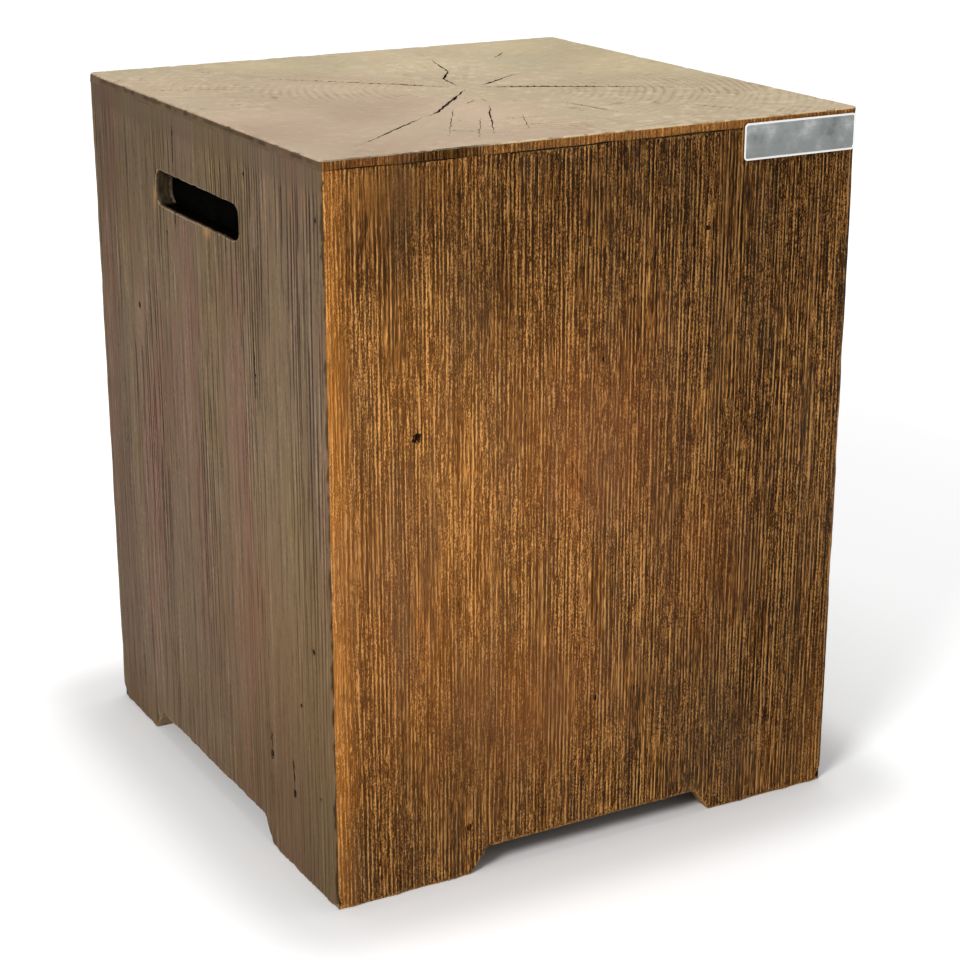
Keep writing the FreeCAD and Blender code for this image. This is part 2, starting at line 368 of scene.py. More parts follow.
frontFinish = {
    "ramp": [
        (0.00, (0.012, 0.005, 0.0008)),
        (0.25, (0.055, 0.020, 0.0030)),
        (0.50, (0.200, 0.074, 0.0110)),
        (0.75, (0.390, 0.163, 0.034)),
        (1.00, (0.670, 0.335, 0.098)),
    ],
    "across": 600.0,
    "along": 10.0,
    "middle": 0.718,
    "reliefPull": 0.22,
    "linePull": 0.62,
    "pulls": {"Streak": 0.34, "Fibre": 0.60, "Grit": 0.70, "Comb": 0.94},
    "bands": (85, 85, 2.4),
    "bandPull": 0.36,
    # Painted stains: how strong and which colour
    "stains": {"blush": (0.7, (0.36, 0.110, 0.025)), "glow": (0.55, (0.57, 0.208, 0.030))},
    "greyPatches": (30, 30, 6),
    "grey": (0.55, (0.125, 0.071, 0.035)),
    "wornAndHighlight": (0.75, (0.50, 0.27, 0.08)),
    "roughness": (0.86, 0.30),       # where it is darkest, and how much less where it is lightest
    "speck": (1100.0, 0.2),          # scale and height of the specks
    "bump": (0.9, 0.0011),
}

sideFinish = {
    "ramp": [
        (0.00, (0.018, 0.011, 0.006)),
        (0.30, (0.060, 0.039, 0.023)),
        (0.60, (0.130, 0.0815, 0.0435)),
        (1.00, (0.275, 0.186, 0.108)),
    ],
    "across": 250.0,
    "along": 4.5,
    "middle": 0.64,
    "reliefPull": 0.62,
    "linePull": 0.06,
    "pulls": {"Streak": 0.15, "Fibre": 0.18, "Grit": 0.12, "Comb": 0.14},
    "bands": (48, 48, 2.6),
    "bandPull": 0.34,
    # Patches of other hues: the noise's scale and detail, then for each tint its gain, offset and colour
    "patches": [
        ((19, 19, 2.8), 4.0, [(7.0, -3.6, (1.08, 0.90, 1.02)), (-7.0, 3.4, (0.99, 1.05, 0.88))]),
        ((11, 11, 6.5), 3.0, [(6.0, -3.0, (0.92, 0.84, 0.76))]),
    ],
    "stains": {"glow": (0.6, (0.40, 0.20, 0.06))},
    "wornAndHighlight": (0.6, (0.30, 0.22, 0.13)),
    "roughness": (0.84, 0.25),
    "speck": (900.0, 0.15),
    "bump": (0.7, 0.0009),
}


def toned(colour, tone):
    # Multiplies a colour by 1 + tone
    return mixed(1.0, colour, maths("MAXIMUM", tone + 1.0, 0.015), "MULTIPLY")


def stained(colour, look):
    for name, (share, stain) in look["stains"].items():
        colour = mixed(painted(colour, name) * share, colour, stain)
    return colour


def panelLevel(place, look):
    # How light a spot is along the finish's ramp: grooves low, partly as dark grain and partly as painted
    # shade in them, ridges high, with streaks laid over both. Where the cast was smeared smooth the streaks
    # nearly go.
    streaks = placed(grainStreaks, Vector=place, Across=look["across"], Along=look["along"])
    detail = streaks["Line"] * -look["linePull"]
    for label, pull in look["pulls"].items():
        detail = detail + (streaks[label] - 0.5) * pull
    detail = detail * scaled(painted(place, "smear"), -0.85, 1.0)
    level = look["middle"] - painted(place, "relief") * look["reliefPull"]
    return (level + detail).clamped()


def finishCast(shader, place, look, colour, roughness, height):
    # What the cast finishes share: the painted tone, which holds stains and painted shade, dark hollows that
    # hardly shine, and rubbed edges, some of them also painted highlights
    tone = painted(place, "tone")
    plug(scaled(tone, 0.2, 0.2), shader["Specular IOR Level"])
    wornAndHighlight = placed(edgeWear, Vector=place, Wear=painted(place, "wear"), Grit=edgeGrit)["Mask"]
    share, wornAndHighlightColour = look["wornAndHighlight"]
    dress(shader, mixed(wornAndHighlight * share, toned(colour, tone), wornAndHighlightColour), roughness, height, look["bump"])


def finishPanel(shader, place, look, colour, level):
    rough, smoother = look["roughness"]
    scale, height = look["speck"]
    specks = placed(mottle, Vector=place, Grit=scale)["Speck"]
    finishCast(shader, place, look, colour, rough - level * smoother, level + specks * height)


def bandShade(place, look, detail, roughness=0.5):
    bands = stretchedNoise(place, look["bands"], detail, roughness)
    return scaled(bands, look["bandPull"], -look["bandPull"] / 2)


def makeCastFront(look):
    material, shader, place = newMaterial("castFront", mattCast)
    level = (panelLevel(place, look) + bandShade(place, look, 3.0, 0.6)).clamped()
    colour = stained(ramp(level, look["ramp"]), look)
    cool = scaled(stretchedNoise(place, look["greyPatches"], 3.0), 3.0, -1.35)
    share, grey = look["grey"]
    finishPanel(shader, place, look, mixed(cool * share, colour, grey), level)
    return material


def makeCastSide(look):
    material, shader, place = newMaterial("castSide", mattCast)
    level = panelLevel(place, look)
    colour = toned(ramp(level, look["ramp"]), bandShade(place, look, 2.0))
    for scale, detail, tints in look["patches"]:
        patches = stretchedNoise(place, scale, detail, 0.6)
        for gain, offset, tint in tints:
            colour = mixed(scaled(patches, gain, offset), colour, tint, "MULTIPLY")
    finishPanel(shader, place, look, stained(colour, look), level)
    return material


topFinish = {
    "ramp": [
        (0.00, (0.060, 0.042, 0.024)),
        (0.40, (0.290, 0.215, 0.130)),
        (0.72, (0.455, 0.360, 0.240)),
        (1.00, (0.590, 0.490, 0.350)),
    ],
    "middle": 0.715,
    "reliefPull": 0.70,
    "rayPull": 0.20,
    "ringPull": 0.42,
    "strokePull": 0.40,
    "speckPull": 0.30,
    # Scale round the pith and outwards from it
    "rays": (26.0, 38.0),
    "rings": (7.0, 330.0),
    "stains": {"glow": (0.55, (0.430, 0.362, 0.215)), "blush": (0.65, (0.470, 0.335, 0.245))},
    "green": (0.40, (0.330, 0.310, 0.195)),
    "wornAndHighlight": (0.6, (0.640, 0.500, 0.320)),
    "mottle": (14.0, 1000.0),
    "roughness": (0.86, 0.12),
    "bump": (0.30, 0.0003),
}

rawFinish = {
    "ramp": [(0.0, (0.105, 0.098, 0.088)), (0.5, (0.200, 0.188, 0.170)), (1.0, (0.330, 0.315, 0.290))],
    "grit": 700.0,
    "voids": 260.0,
}
beddingFinish = {"ramp": [(0.0, (0.030, 0.020, 0.012)), (1.0, (0.120, 0.082, 0.050))], "grit": 1300.0}
bondFinish = {"ramp": [(0.0, (0.065, 0.045, 0.030)), (1.0, (0.190, 0.140, 0.098))], "grit": 1300.0}
badgeFinish = {
    "ramp": [(0.0, (0.135, 0.150, 0.150)), (0.5, (0.245, 0.260, 0.255)), (1.0, (0.430, 0.440, 0.430))],
    "brush": (14, 1900, 1900),
    "roughness": (0.34, 0.50),
    "rimColour": (0.80, 0.79, 0.77),
}
screwFinish = {
    "ramp": [(0.0, (0.300, 0.290, 0.270)), (1.0, (0.560, 0.550, 0.530))],
    "brush": (900, 900, 900),
    "roughness": (0.28, 0.50),
}
brassFinish = {
    "ramp": [(0.0, (0.420, 0.280, 0.090)), (1.0, (0.720, 0.520, 0.220))],
    "brush": (1200, 1200, 400),
    "roughness": (0.25, 0.45),
}
galvanisedFinish = {
    "ramp": [(0.0, (0.300, 0.310, 0.320)), (0.5, (0.430, 0.440, 0.450)), (1.0, (0.600, 0.610, 0.620))],
    "spangle": 95.0,
}
foamFinish = {"ramp": [(0.0, (0.010, 0.010, 0.010)), (1.0, (0.060, 0.060, 0.062))], "cells": 2600.0}


def makeCastTop(look):
    material, shader, place = newMaterial("castTop", mattCast)
    size, grit = look["mottle"]
    clouds = placed(mottle, Vector=place, Size=size, Grit=grit)
    pith = (slabShape["pith"][0] - halfSpan, slabShape["pith"][1] - halfSpan, 0)
    centred = vectorMaths("SUBTRACT", place, pith)
    split = addNode(place.tree, "SeparateXYZ", {0: centred})
    turn = maths("ARCTAN2", split.beside("Y"), split)
    away = vectorMaths("LENGTH", centred, output="Value")

    def roundPith(scale, distortion):
        # Noise with one scale for the direction from the pith and another for the distance
        spots = addNode(place.tree, "CombineXYZ", {0: turn * scale[0], 1: away * scale[1]})
        return noiseOn(spots, 1.0, 3.0, 0.6, distortion)

    rays = scaled(roundPith(look["rays"], 0.4), 5.5, -2.9) * scaled(away, 14.0, -0.35)
    rays = rays * scaled(noiseOn(place, 16.0), 5.0, -1.9)
    rings = scaled(roundPith(look["rings"], 0.0), -5.5, 2.15)
    strokes = scaled(noiseOn(place, 115.0, 3.0, 0.62), 3.0, -1.5)
    level = look["middle"] - painted(place, "relief") * look["reliefPull"]
    level = level - rays * look["rayPull"] - rings * look["ringPull"] + strokes * look["strokePull"]
    level = (level + (clouds["Speck"] - 0.5) * look["speckPull"]).clamped()
    share, green = look["green"]
    colour = stained(ramp(level, look["ramp"]), look)
    colour = mixed(scaled(clouds["Cloud"], 1.1, -0.55) * share, colour, green)
    rough, smoother = look["roughness"]
    height = clouds["Speck"] * 0.5 - rings * 0.8 - rays * 0.4
    finishCast(shader, place, look, colour, rough - clouds["Cloud"] * smoother, height)
    return material


def makeRawCast(look):
    # The unstained inner faces: grey cast with trowelled clouds, fine grit and small voids
    material, shader, place = newMaterial("rawCast", mattCast)
    clouds = placed(mottle, Vector=place, Size=24.0, Grit=look["grit"])
    voids = scaled(noiseOn(place, look["voids"], 1.0), 9.0, -6.3)
    level = clouds["Cloud"] * 0.55 + clouds["Speck"] * 0.35 - voids
    dress(shader, ramp(level, look["ramp"]), scaled(clouds["Speck"], 0.15, 0.78), level, (0.45, 0.0006))
    return material


def makeBedding(name, look):
    material, shader, place = newMaterial(name, {"IOR": 1.48, "Specular IOR Level": 0.3})
    clouds = placed(mottle, Vector=place, Size=60.0, Grit=look["grit"])
    level = clouds["Cloud"] * 0.5 + clouds["Speck"] * 0.5
    dress(shader, ramp(level, look["ramp"]), scaled(clouds["Cloud"], 0.2, 0.6), level, (0.5, 0.0005))
    return material


def makeMetal(name, look):
    # Metal brushed along one way, with cloudy tarnish
    material, shader, place = newMaterial(name, {"Metallic": 1.0})
    clouds = placed(mottle, Vector=place, Size=75.0)["Cloud"]
    brushed = stretchedNoise(place, look["brush"], 3.0)
    colour = ramp(clouds * 0.75 + brushed * 0.3, look["ramp"])
    if "rimColour" in look:
        colour = mixed(painted(place, "wear"), colour, look["rimColour"])
    low, high = look["roughness"]
    dress(shader, colour, scaled(clouds, low - high, high), brushed, (0.15, 0.0001))
    return material


def makeGalvanised(look):
    # Hot-dip zinc: flat crystals, each a little lighter or darker than the next
    material, shader, place = newMaterial("galvanisedSteel", {"Metallic": 1.0})
    cells = addNode(place.tree, "TexVoronoi", {"Vector": place, "Scale": look["spangle"]}, "Color")
    tint = addNode(place.tree, "SeparateColor", {0: cells})
    clouds = placed(mottle, Vector=place, Size=30.0, Grit=1500.0)
    colour = ramp(tint * 0.6 + clouds["Cloud"] * 0.3, look["ramp"])
    dress(shader, colour, scaled(tint.beside(1), 0.22, 0.36), clouds["Speck"], (0.15, 0.0002))
    return material


def makeFoam(look):
    material, shader, place = newMaterial("padFoam", mattCast)
    cells = addNode(place.tree, "TexVoronoi", {"Vector": place, "Scale": look["cells"]}, "Distance")
    dress(shader, ramp(cells, look["ramp"]), scaled(cells, -0.2, 0.95), cells, (0.6, 0.0004))
    return material


# Mesh helpers


def eased(low, high, value):
    # 0 below low, 1 above high, smooth between
    share = min(max((value - low) / (high - low), 0.0), 1.0)
    return share * share * (3 - 2 * share)


def wave(x, y, z):
    return noise.noise((x, y, z))


def spread(low, high, step):
    # Evenly spaced values from low on, without high itself
    count = max(1, round((high - low) / step))
    return [low + (high - low) * i / count for i in range(count)]


def addPiece(name, shape, materials, sharpAngle=55):
    # Turns a bmesh into an object at the origin, smooth but for its sharp corners
    mesh = bpy.data.meshes.new(name)
    for face in shape.faces:
        face.smooth = True
    shape.to_mesh(mesh)
    shape.free()
    mesh.set_sharp_from_angle(angle=math.radians(sharpAngle))
    for material in materials:
        mesh.materials.append(material)
    return addObject(name, mesh)


def onlyVerts(made):
    return [part for part in made["geom"] if isinstance(part, bmesh.types.BMVert)]


def openEdges(parts):
    return [part for part in parts if isinstance(part, bmesh.types.BMEdge) and part.is_boundary]


def paintLayers(shape):
    # The painting's layers on a shape's points. "kept" is 1 on every point that a cut leaves as it was.
    layers = shape.verts.layers.float
    return {name: layers.get(name) or layers.new(name) for name in (*paintNames, "kept")}


def brush(vert, paint, **values):
    for name, value in values.items():
        vert[paint[name]] = value


def newGrid(columns, rows):
    # A flat grid that can be painted, whose points know their column and row
    shape = bmesh.new()
    paint = paintLayers(shape)
    columnOf = shape.verts.layers.int.new("column")
    rowOf = shape.verts.layers.int.new("row")
    bmesh.ops.create_grid(shape, x_segments=columns - 1, y_segments=rows - 1, size=1.0)
    for vert in shape.verts:
        vert[columnOf] = round((vert.co.x + 1) / 2 * (columns - 1))
        vert[rowOf] = round((vert.co.y + 1) / 2 * (rows - 1))
        vert[paint["kept"]] = 1.0
    return shape, paint, columnOf, rowOf


def turnedPoint(x, y, z, turn):
    return (x * math.cos(turn) - y * math.sin(turn), x * math.sin(turn) + y * math.cos(turn), z)


# Walls

wallShape = {
    "cornerRadius": 0.006,
    "archRise": 0.018,
    "archSlope": 0.013,
    "archRadius": 0.007,
    "endFeet": (0.103, 0.103),
    "leftFeet": (0.074, 0.106),
    "archBlend": 0.09,        # the rows bend round the arch up to this height
    "columnStep": 0.00065,
    "rowStep": 0.0042,
    "fineRowStep": 0.0018,
    "bendSteps": 7,
    "lipStart": 0.484,        # the rows above this follow the ragged top edge
    "lipGap": 0.00008,        # between the lip and the slab's rim
    "lipDepth": 0.0025,
    "toeDepth": 0.005,
    "lipStep": 0.00045,       # how far behind the lip the panel's lower top begins
    "setBackStep": 0.00008,
    "bondGap": 0.0008,
    "endShift": 0.030,        # behind the mitres, columns this near the end draw in
    "footRound": 0.012,       # the corner feet are worn round this far along and up
    "footLift": 0.0035,
    # The long hollows up the front and back, as the solids have them
    "hollowCount": 11,
    "hollowDepth": 0.0009,
    "hollowMargin": 0.012,
    "ridgeLand": 0.0016,
    "hollowUnevenness": 0.3,
    "hollowPhase": 2.4,
    "badgeLand": 0.0015,      # flat border left around the badge
    # How far from the ends the grain, the worn corner, the bottom edge and the edge under the crease reach
    "grainStart": (0.0018, 0.009),
    "cornerReach": (0.012, 0.0015),
    "edgeReach": 0.0045,
    "creaseReach": 0.004,
    "creaseDrop": (0.0014, 0.0007),      # how far the lip drops where the crease gapes, and how unevenly
    "creaseRound": 0.0008,
    "lipDrop": 0.0010,        # of the lip's inner edge where the crease gapes
    "edgeRound": 0.0005,
    "edgeRagged": 0.0010,
    "soleUnevenness": (0.0003, 0.0009),  # of the feet's undersides
    "chipBorder": 0.0012,
    # Chipped stain at the upright edges: its width, and the amount and scale of its two unevennesses
    "frontRag": (0.0004, 0.0022, 60, 0.0030, 330),
    "sideRag": (0.0030, 0.0026, 95, 0.0012, 380),
}

slotShape = {
    "length": 0.147,
    "height": 0.025,
    "radius": 0.009,
    "belowTop": 0.0635,
    "rimRadius": 0.0011,
    "rimDepth": 0.0005,       # from the wall's box to where the rounding starts
    "rough": 0.0006,
    "step": 0.0022,           # between the points of its outline
    "rings": (-0.0035, -0.009),
    "past": 0.002,            # how far the cutter stands out at both faces
    "rowMargin": 0.004,
}

wallTurns = {"front": 0, "right": 90, "back": 180, "left": -90}


def wallRows():
    slotMiddle = topLevel - slotShape["belowTop"]
    slotReach = slotShape["height"] / 2 + slotShape["rowMargin"]
    fine, coarse = wallShape["fineRowStep"], wallShape["rowStep"]
    stops = [0, wallShape["footRound"], slotMiddle - slotReach, slotMiddle + slotReach, wallShape["lipStart"]]
    stops.append(seatLevel - wallShape["lipGap"])
    rows = []
    for low, high, step in zip(stops, stops[1:], (fine, coarse, fine, coarse, fine)):
        rows += spread(low, high, step)
    return rows + [stops[-1]]


def archHeight(x, feet):
    # The cut-out's height above the floor at x along a wall, 0 over the feet
    rise = wallShape["archRise"]
    slope = wallShape["archSlope"]
    radius = wallShape["archRadius"]
    fromFoot = min(x + halfSpan - feet[0], halfSpan - feet[1] - x)
    steep = math.atan2(rise, slope)
    tangent = radius * math.tan(steep / 2)
    if fromFoot <= 0:
        return 0.0
    if fromFoot >= slope + tangent:
        return rise
    if fromFoot <= slope - tangent * math.cos(steep):
        return fromFoot * rise / slope
    return rise - radius + math.sqrt(radius ** 2 - (slope + tangent - fromFoot) ** 2)


def wallColumns(feet):
    # Each column's place in plan and the angle that it faces, from the left mitre to the right one
    radius = wallShape["cornerRadius"]
    straight = halfSpan - radius
    bends = wallShape["bendSteps"]

    def bend(end, step):
        angle = end * math.pi / 4 * step / bends
        return end * straight + radius * math.sin(angle), -straight - radius * math.cos(angle), angle

    slope = wallShape["archSlope"]
    left = feet[0] - halfSpan
    right = halfSpan - feet[1]
    stops = [-straight, left, left + slope, right - slope, right, straight]
    columns = [bend(-1, step) for step in range(bends, 0, -1)]
    for low, high in zip(stops, stops[1:]):
        columns += [(x, -halfSpan, 0.0) for x in spread(low, high, wallShape["columnStep"])]
    return columns + [bend(1, step) for step in range(bends + 1)]


def ridgeLines():
    # Where the ridges between the hollows stand along the wall
    span = 2 * (halfSpan - wallShape["hollowMargin"])
    uneven, phase = wallShape["hollowUnevenness"], wallShape["hollowPhase"]
    shares = [1 + uneven * math.sin(phase * i) for i in range(wallShape["hollowCount"])]
    lines = [-span / 2]
    for share in shares:
        lines.append(lines[-1] + span * share / sum(shares))
    return lines


def hollowAt(x):
    # How deep the hollow is at x along the wall
    lines = ridgeLines()
    for start, end in zip(lines, lines[1:]):
        half = (end - start - wallShape["ridgeLand"]) / 2
        away = abs(x - (start + end) / 2) / half
        if away < 1:
            return wallShape["hollowDepth"] * (1 - away ** 2)
    return 0.0


def onBadgeSeat(side, x, z):
    # 1 where the front stays flat behind the badge
    if side != "front":
        return 0.0
    inside = min(x - badgeLow.x, badgeHigh.x - x, z - badgeLow.z, badgeHigh.z - z) + wallShape["badgeLand"]
    return eased(-0.0006, 0.0006, inside)


def ridgedBoards(x, z, seed, look):
    # Deep weathered grain, 0 on a ridge and 1 in a groove: long ridges in some bands, short fibres in others
    sway = look["sway"] * wave(x * 7, z * 2.6, seed) + 0.0005 * wave(x * 40, z * 12, seed + 3)
    across = (x + sway) / look["pitch"]
    ridges = wave(across, z / look["ridgeLength"], seed + 11)
    thin = wave(across * 1.8, z / look["ridgeLength"] * 1.6, seed + 17)
    lean = 0.45 * wave(x * 45, z * 40, seed + 23)
    fibres = wave(across * 1.1 + lean, z / look["fibreLength"], seed + 29)
    broken = eased(-0.15, 0.35, wave(x * 17, z * 4.5, seed + 37))
    height = ridges * (1 - 0.55 * broken) + 0.5 * thin + fibres * (0.25 + 0.75 * broken)
    return eased(-0.15, 0.62, -height) ** 0.8


def scoredBoards(x, z, seed, look):
    # Smoother grain: thin scored lines that come and go, in bundles in some bands and hardly any in others,
    # each with a painted highlight along one side, as if that side of the line were lit
    sway = look["sway"] * wave(x * 6, z * 2.4, seed) + 0.0009 * wave(x * 26, z * 10, seed + 5)
    across = (x + sway) / look["pitch"]
    near = look["crowdNear"] * eased(0.22, 0.36, x + halfSpan)
    crowd = eased(-0.15, 0.45, wave(x * 19, z * 2.6, seed + 37) + near)
    deepest = 0.0
    lightest = 0.0
    for line in (math.floor(across), math.floor(across) + 1):
        shift = 0.7 * wave(line * 5.3, seed, 0.5)
        length = look["ridgeLength"] * (1 + 0.6 * wave(line * 2.9, seed, 4.5))
        shown = eased(-0.10, 0.25, wave(line * 3.7, z / length, seed + 44) + 0.5 * crowd - 0.25)
        width = look["lineWidth"] * (0.75 + 0.6 * crowd)
        beside = across - line - shift
        deepest = max(deepest, shown * (1 - eased(0.0, width, abs(beside))))
        # A painted highlight beside each line, as of its lit lip
        lightest = max(lightest, shown * (1 - eased(0.0, width, abs(beside + 1.3 * width))))
    soft = eased(-0.4, 0.5, wave(across * 0.8, z * 2.4, seed + 51))
    amount = (0.25 + 0.75 * crowd) * (0.35 + 0.65 * eased(0.08, 0.30, z))
    return min((deepest - 0.30 * lightest) * amount + 0.20 * soft, 1.0)


def spotted(x, z, spots):
    # The sum of soft spots given as (along the wall, height, reach along, reach up, amount)
    total = 0.0
    for spotX, spotZ, reachX, reachZ, amount in spots:
        away = ((x - spotX) / reachX) ** 2 + ((z - spotZ) / reachZ) ** 2
        if away < 6:
            total += amount * math.exp(-away)
    return total


frontLook = {
    "relief": ridgedBoards,
    "pitch": 0.00135,
    "ridgeLength": 0.080,
    "fibreLength": 0.0075,
    "sway": 0.0034,
    "depth": 0.0008,
    "swell": 0.0002,
    "pits": [
        # along the wall, height, radius, squash
        (0.0645, 0.3235, 0.0056, 0.8), (0.2120, 0.476, 0.0026, 0.8), (0.2035, 0.357, 0.0017, 1.0),
        (0.2845, 0.437, 0.0026, 0.9), (0.102, 0.037, 0.0030, 1.2), (0.202, 0.112, 0.0026, 1.3),
    ],
    "scratches": [
        ((0.0926, 0.211), (0.0956, 0.189)), ((0.176, 0.296), (0.194, 0.262)),
        ((0.075, 0.022), (0.113, 0.033)),
    ],
    "scrapes": [
        ((0.0765, 0.386), (0.101, 0.369)), ((0.086, 0.379), (0.103, 0.358)),
        ((0.0925, 0.352), (0.0965, 0.340)), ((0.0965, 0.341), (0.104, 0.326)),
        ((0.0800, 0.268), (0.0845, 0.277)),
    ],
    "splits": [((0.231, 0.113), (0.240, 0.114))],
    "tone": [
        (0.36, 0.46, 0.15, 0.13, -0.42), (0.19, 0.49, 0.12, 0.07, -0.30),
        (0.055, 0.465, 0.035, 0.05, -0.38), (0.155, 0.40, 0.05, 0.05, -0.16),
        (0.118, 0.43, 0.022, 0.045, -0.24), (0.37, 0.10, 0.12, 0.15, -0.38),
        (0.31, 0.29, 0.07, 0.10, -0.15), (0.08, 0.05, 0.12, 0.10, -0.20), (0.12, 0.30, 0.12, 0.14, 0.18),
        (0.006, 0.12, 0.012, 0.14, 0.22),
    ],
    "glow": [
        (0.006, 0.25, 0.010, 0.40, 0.9), (0.08, 0.32, 0.09, 0.14, 0.40), (0.10, 0.12, 0.10, 0.10, 0.30),
        (0.40, 0.02, 0.03, 0.10, 0.35),
    ],
    "blush": [
        (0.20, 0.30, 0.06, 0.07, 0.7), (0.15, 0.12, 0.06, 0.05, 0.6), (0.29, 0.20, 0.04, 0.06, 0.4),
        (0.05, 0.20, 0.05, 0.09, 0.4),
    ],
    "smear": [(0.05, 0.485, 0.05, 0.022, 0.8)],
    "openCrease": (0.014, 0.300),
}

backLook = {
    **frontLook,
    "pits": [(0.096, 0.402, 0.0024, 0.9), (0.311, 0.266, 0.0022, 1.1), (0.221, 0.086, 0.0028, 1.0)],
    "scratches": [
        ((0.260, 0.402), (0.281, 0.381)), ((0.140, 0.161), (0.149, 0.139)),
        ((0.330, 0.120), (0.334, 0.099)),
    ],
    "scrapes": [((0.190, 0.220), (0.206, 0.196)), ((0.196, 0.224), (0.209, 0.204))],
    "splits": [((0.052, 0.150), (0.053, 0.121))],
    "tone": [
        (0.08, 0.44, 0.12, 0.13, -0.32), (0.30, 0.10, 0.13, 0.12, -0.30), (0.24, 0.33, 0.12, 0.15, 0.15),
        (0.37, 0.40, 0.06, 0.12, -0.20),
    ],
    "glow": [(0.398, 0.25, 0.010, 0.40, 0.6), (0.20, 0.30, 0.09, 0.10, 0.2)],
    "blush": [(0.12, 0.22, 0.07, 0.07, 0.6), (0.28, 0.36, 0.05, 0.08, 0.5)],
    "smear": [(0.36, 0.485, 0.06, 0.020, 0.7)],
    "openCrease": (0.030, 0.370),
}

leftLook = {
    "relief": scoredBoards,
    "pitch": 0.0042,
    "ridgeLength": 0.060,
    "lineWidth": 0.23,
    "crowdNear": 0.45,
    "sway": 0.0044,
    "depth": 0.0007,
    "swell": 0.0005,
    "pits": [
        (0.086, 0.348, 0.0022, 1.3), (0.148, 0.415, 0.0014, 1.0), (0.288, 0.480, 0.0018, 1.0),
        (0.396, 0.470, 0.0016, 1.0), (0.378, 0.179, 0.0022, 1.1), (0.356, 0.132, 0.0017, 1.0),
        (0.383, 0.074, 0.0014, 1.0), (0.3045, 0.0745, 0.0036, 1.3), (0.341, 0.060, 0.0026, 1.5),
    ],
    "scratches": [((0.344, 0.166), (0.343, 0.154))],
    "scrapes": [],
    "splits": [
        ((0.3045, 0.092), (0.3050, 0.078)), ((0.3395, 0.086), (0.3410, 0.062)),
        ((0.1655, 0.498), (0.1640, 0.457)), ((0.1650, 0.434), (0.1640, 0.420)),
        ((0.296, 0.398), (0.2975, 0.318)),
    ],
    "tone": [
        (0.02, 0.25, 0.03, 0.40, -0.18), (0.10, 0.46, 0.18, 0.05, -0.22), (0.30, 0.30, 0.10, 0.12, 0.08),
        (0.32, 0.08, 0.14, 0.12, -0.18), (0.36, 0.03, 0.12, 0.12, -0.20), (0.06, 0.26, 0.08, 0.30, -0.06),
        (0.086, 0.343, 0.008, 0.016, 0.22), (0.005, 0.25, 0.003, 0.60, 0.30),
    ],
    "glow": [
        (0.2215, 0.430, 0.006, 0.004, 1.0), (0.1275, 0.436, 0.0022, 0.008, 0.9),
        (0.34, 0.10, 0.10, 0.14, 0.30),
    ],
    "blush": [],
    "smear": [],
    "openCrease": None,
}

rightLook = {
    **leftLook,
    "pits": [
        (0.060, 0.410, 0.0018, 1.1), (0.331, 0.252, 0.0020, 1.2), (0.118, 0.096, 0.0032, 1.3),
        (0.290, 0.055, 0.0020, 1.0),
    ],
    "scratches": [((0.205, 0.240), (0.207, 0.222))],
    "splits": [
        ((0.118, 0.118), (0.1185, 0.098)), ((0.262, 0.492), (0.260, 0.452)),
        ((0.345, 0.330), (0.346, 0.262)),
    ],
    "glow": [(0.180, 0.430, 0.006, 0.004, 0.8)],
    "crowdNear": 0.0,
    "tone": [
        (0.36, 0.25, 0.05, 0.40, -0.12), (0.14, 0.32, 0.10, 0.12, 0.10), (0.20, 0.08, 0.12, 0.10, -0.12),
    ],
}


def cornerWear(x, y, z):
    # How deep the upright corner is worn at this height, the same for both walls that meet there
    side = (1 if x > 0 else -1) * 3.1 + (1 if y > 0 else -1) * 7.7
    ripple = 0.00022 + 0.0004 * eased(0.0, 0.5, wave(side, z * 26, 3.3)) + 0.0002 * wave(side, z * 130, 8.8)
    foot = eased(0.016, 0.0, z)
    return ripple + 0.0042 * foot * foot * (0.7 + 0.6 * wave(side, 5.5, 1.2))


def ragged(x, y, z, strength):
    # Raggedness of an outer edge at a point in space
    rough = 0.5 + 0.9 * wave(x * 90, y * 90, z * 90 + 4.4) + 0.5 * wave(x * 320, y * 320, z * 320)
    return strength * max(rough, 0.0)


def creaseOpening(u, look, seed):
    # 0 where the crease under the slab is smeared shut, up to 1 where it gapes
    if look["openCrease"] is None:
        return 0.0
    start, end = look["openCrease"]
    within = eased(start, start + 0.02, u) * eased(end + 0.02, end - 0.03, u)
    return within * eased(-0.45, 0.25, wave(u * 26, seed, 0.7) + 0.15 * wave(u * 120, seed, 9.1))


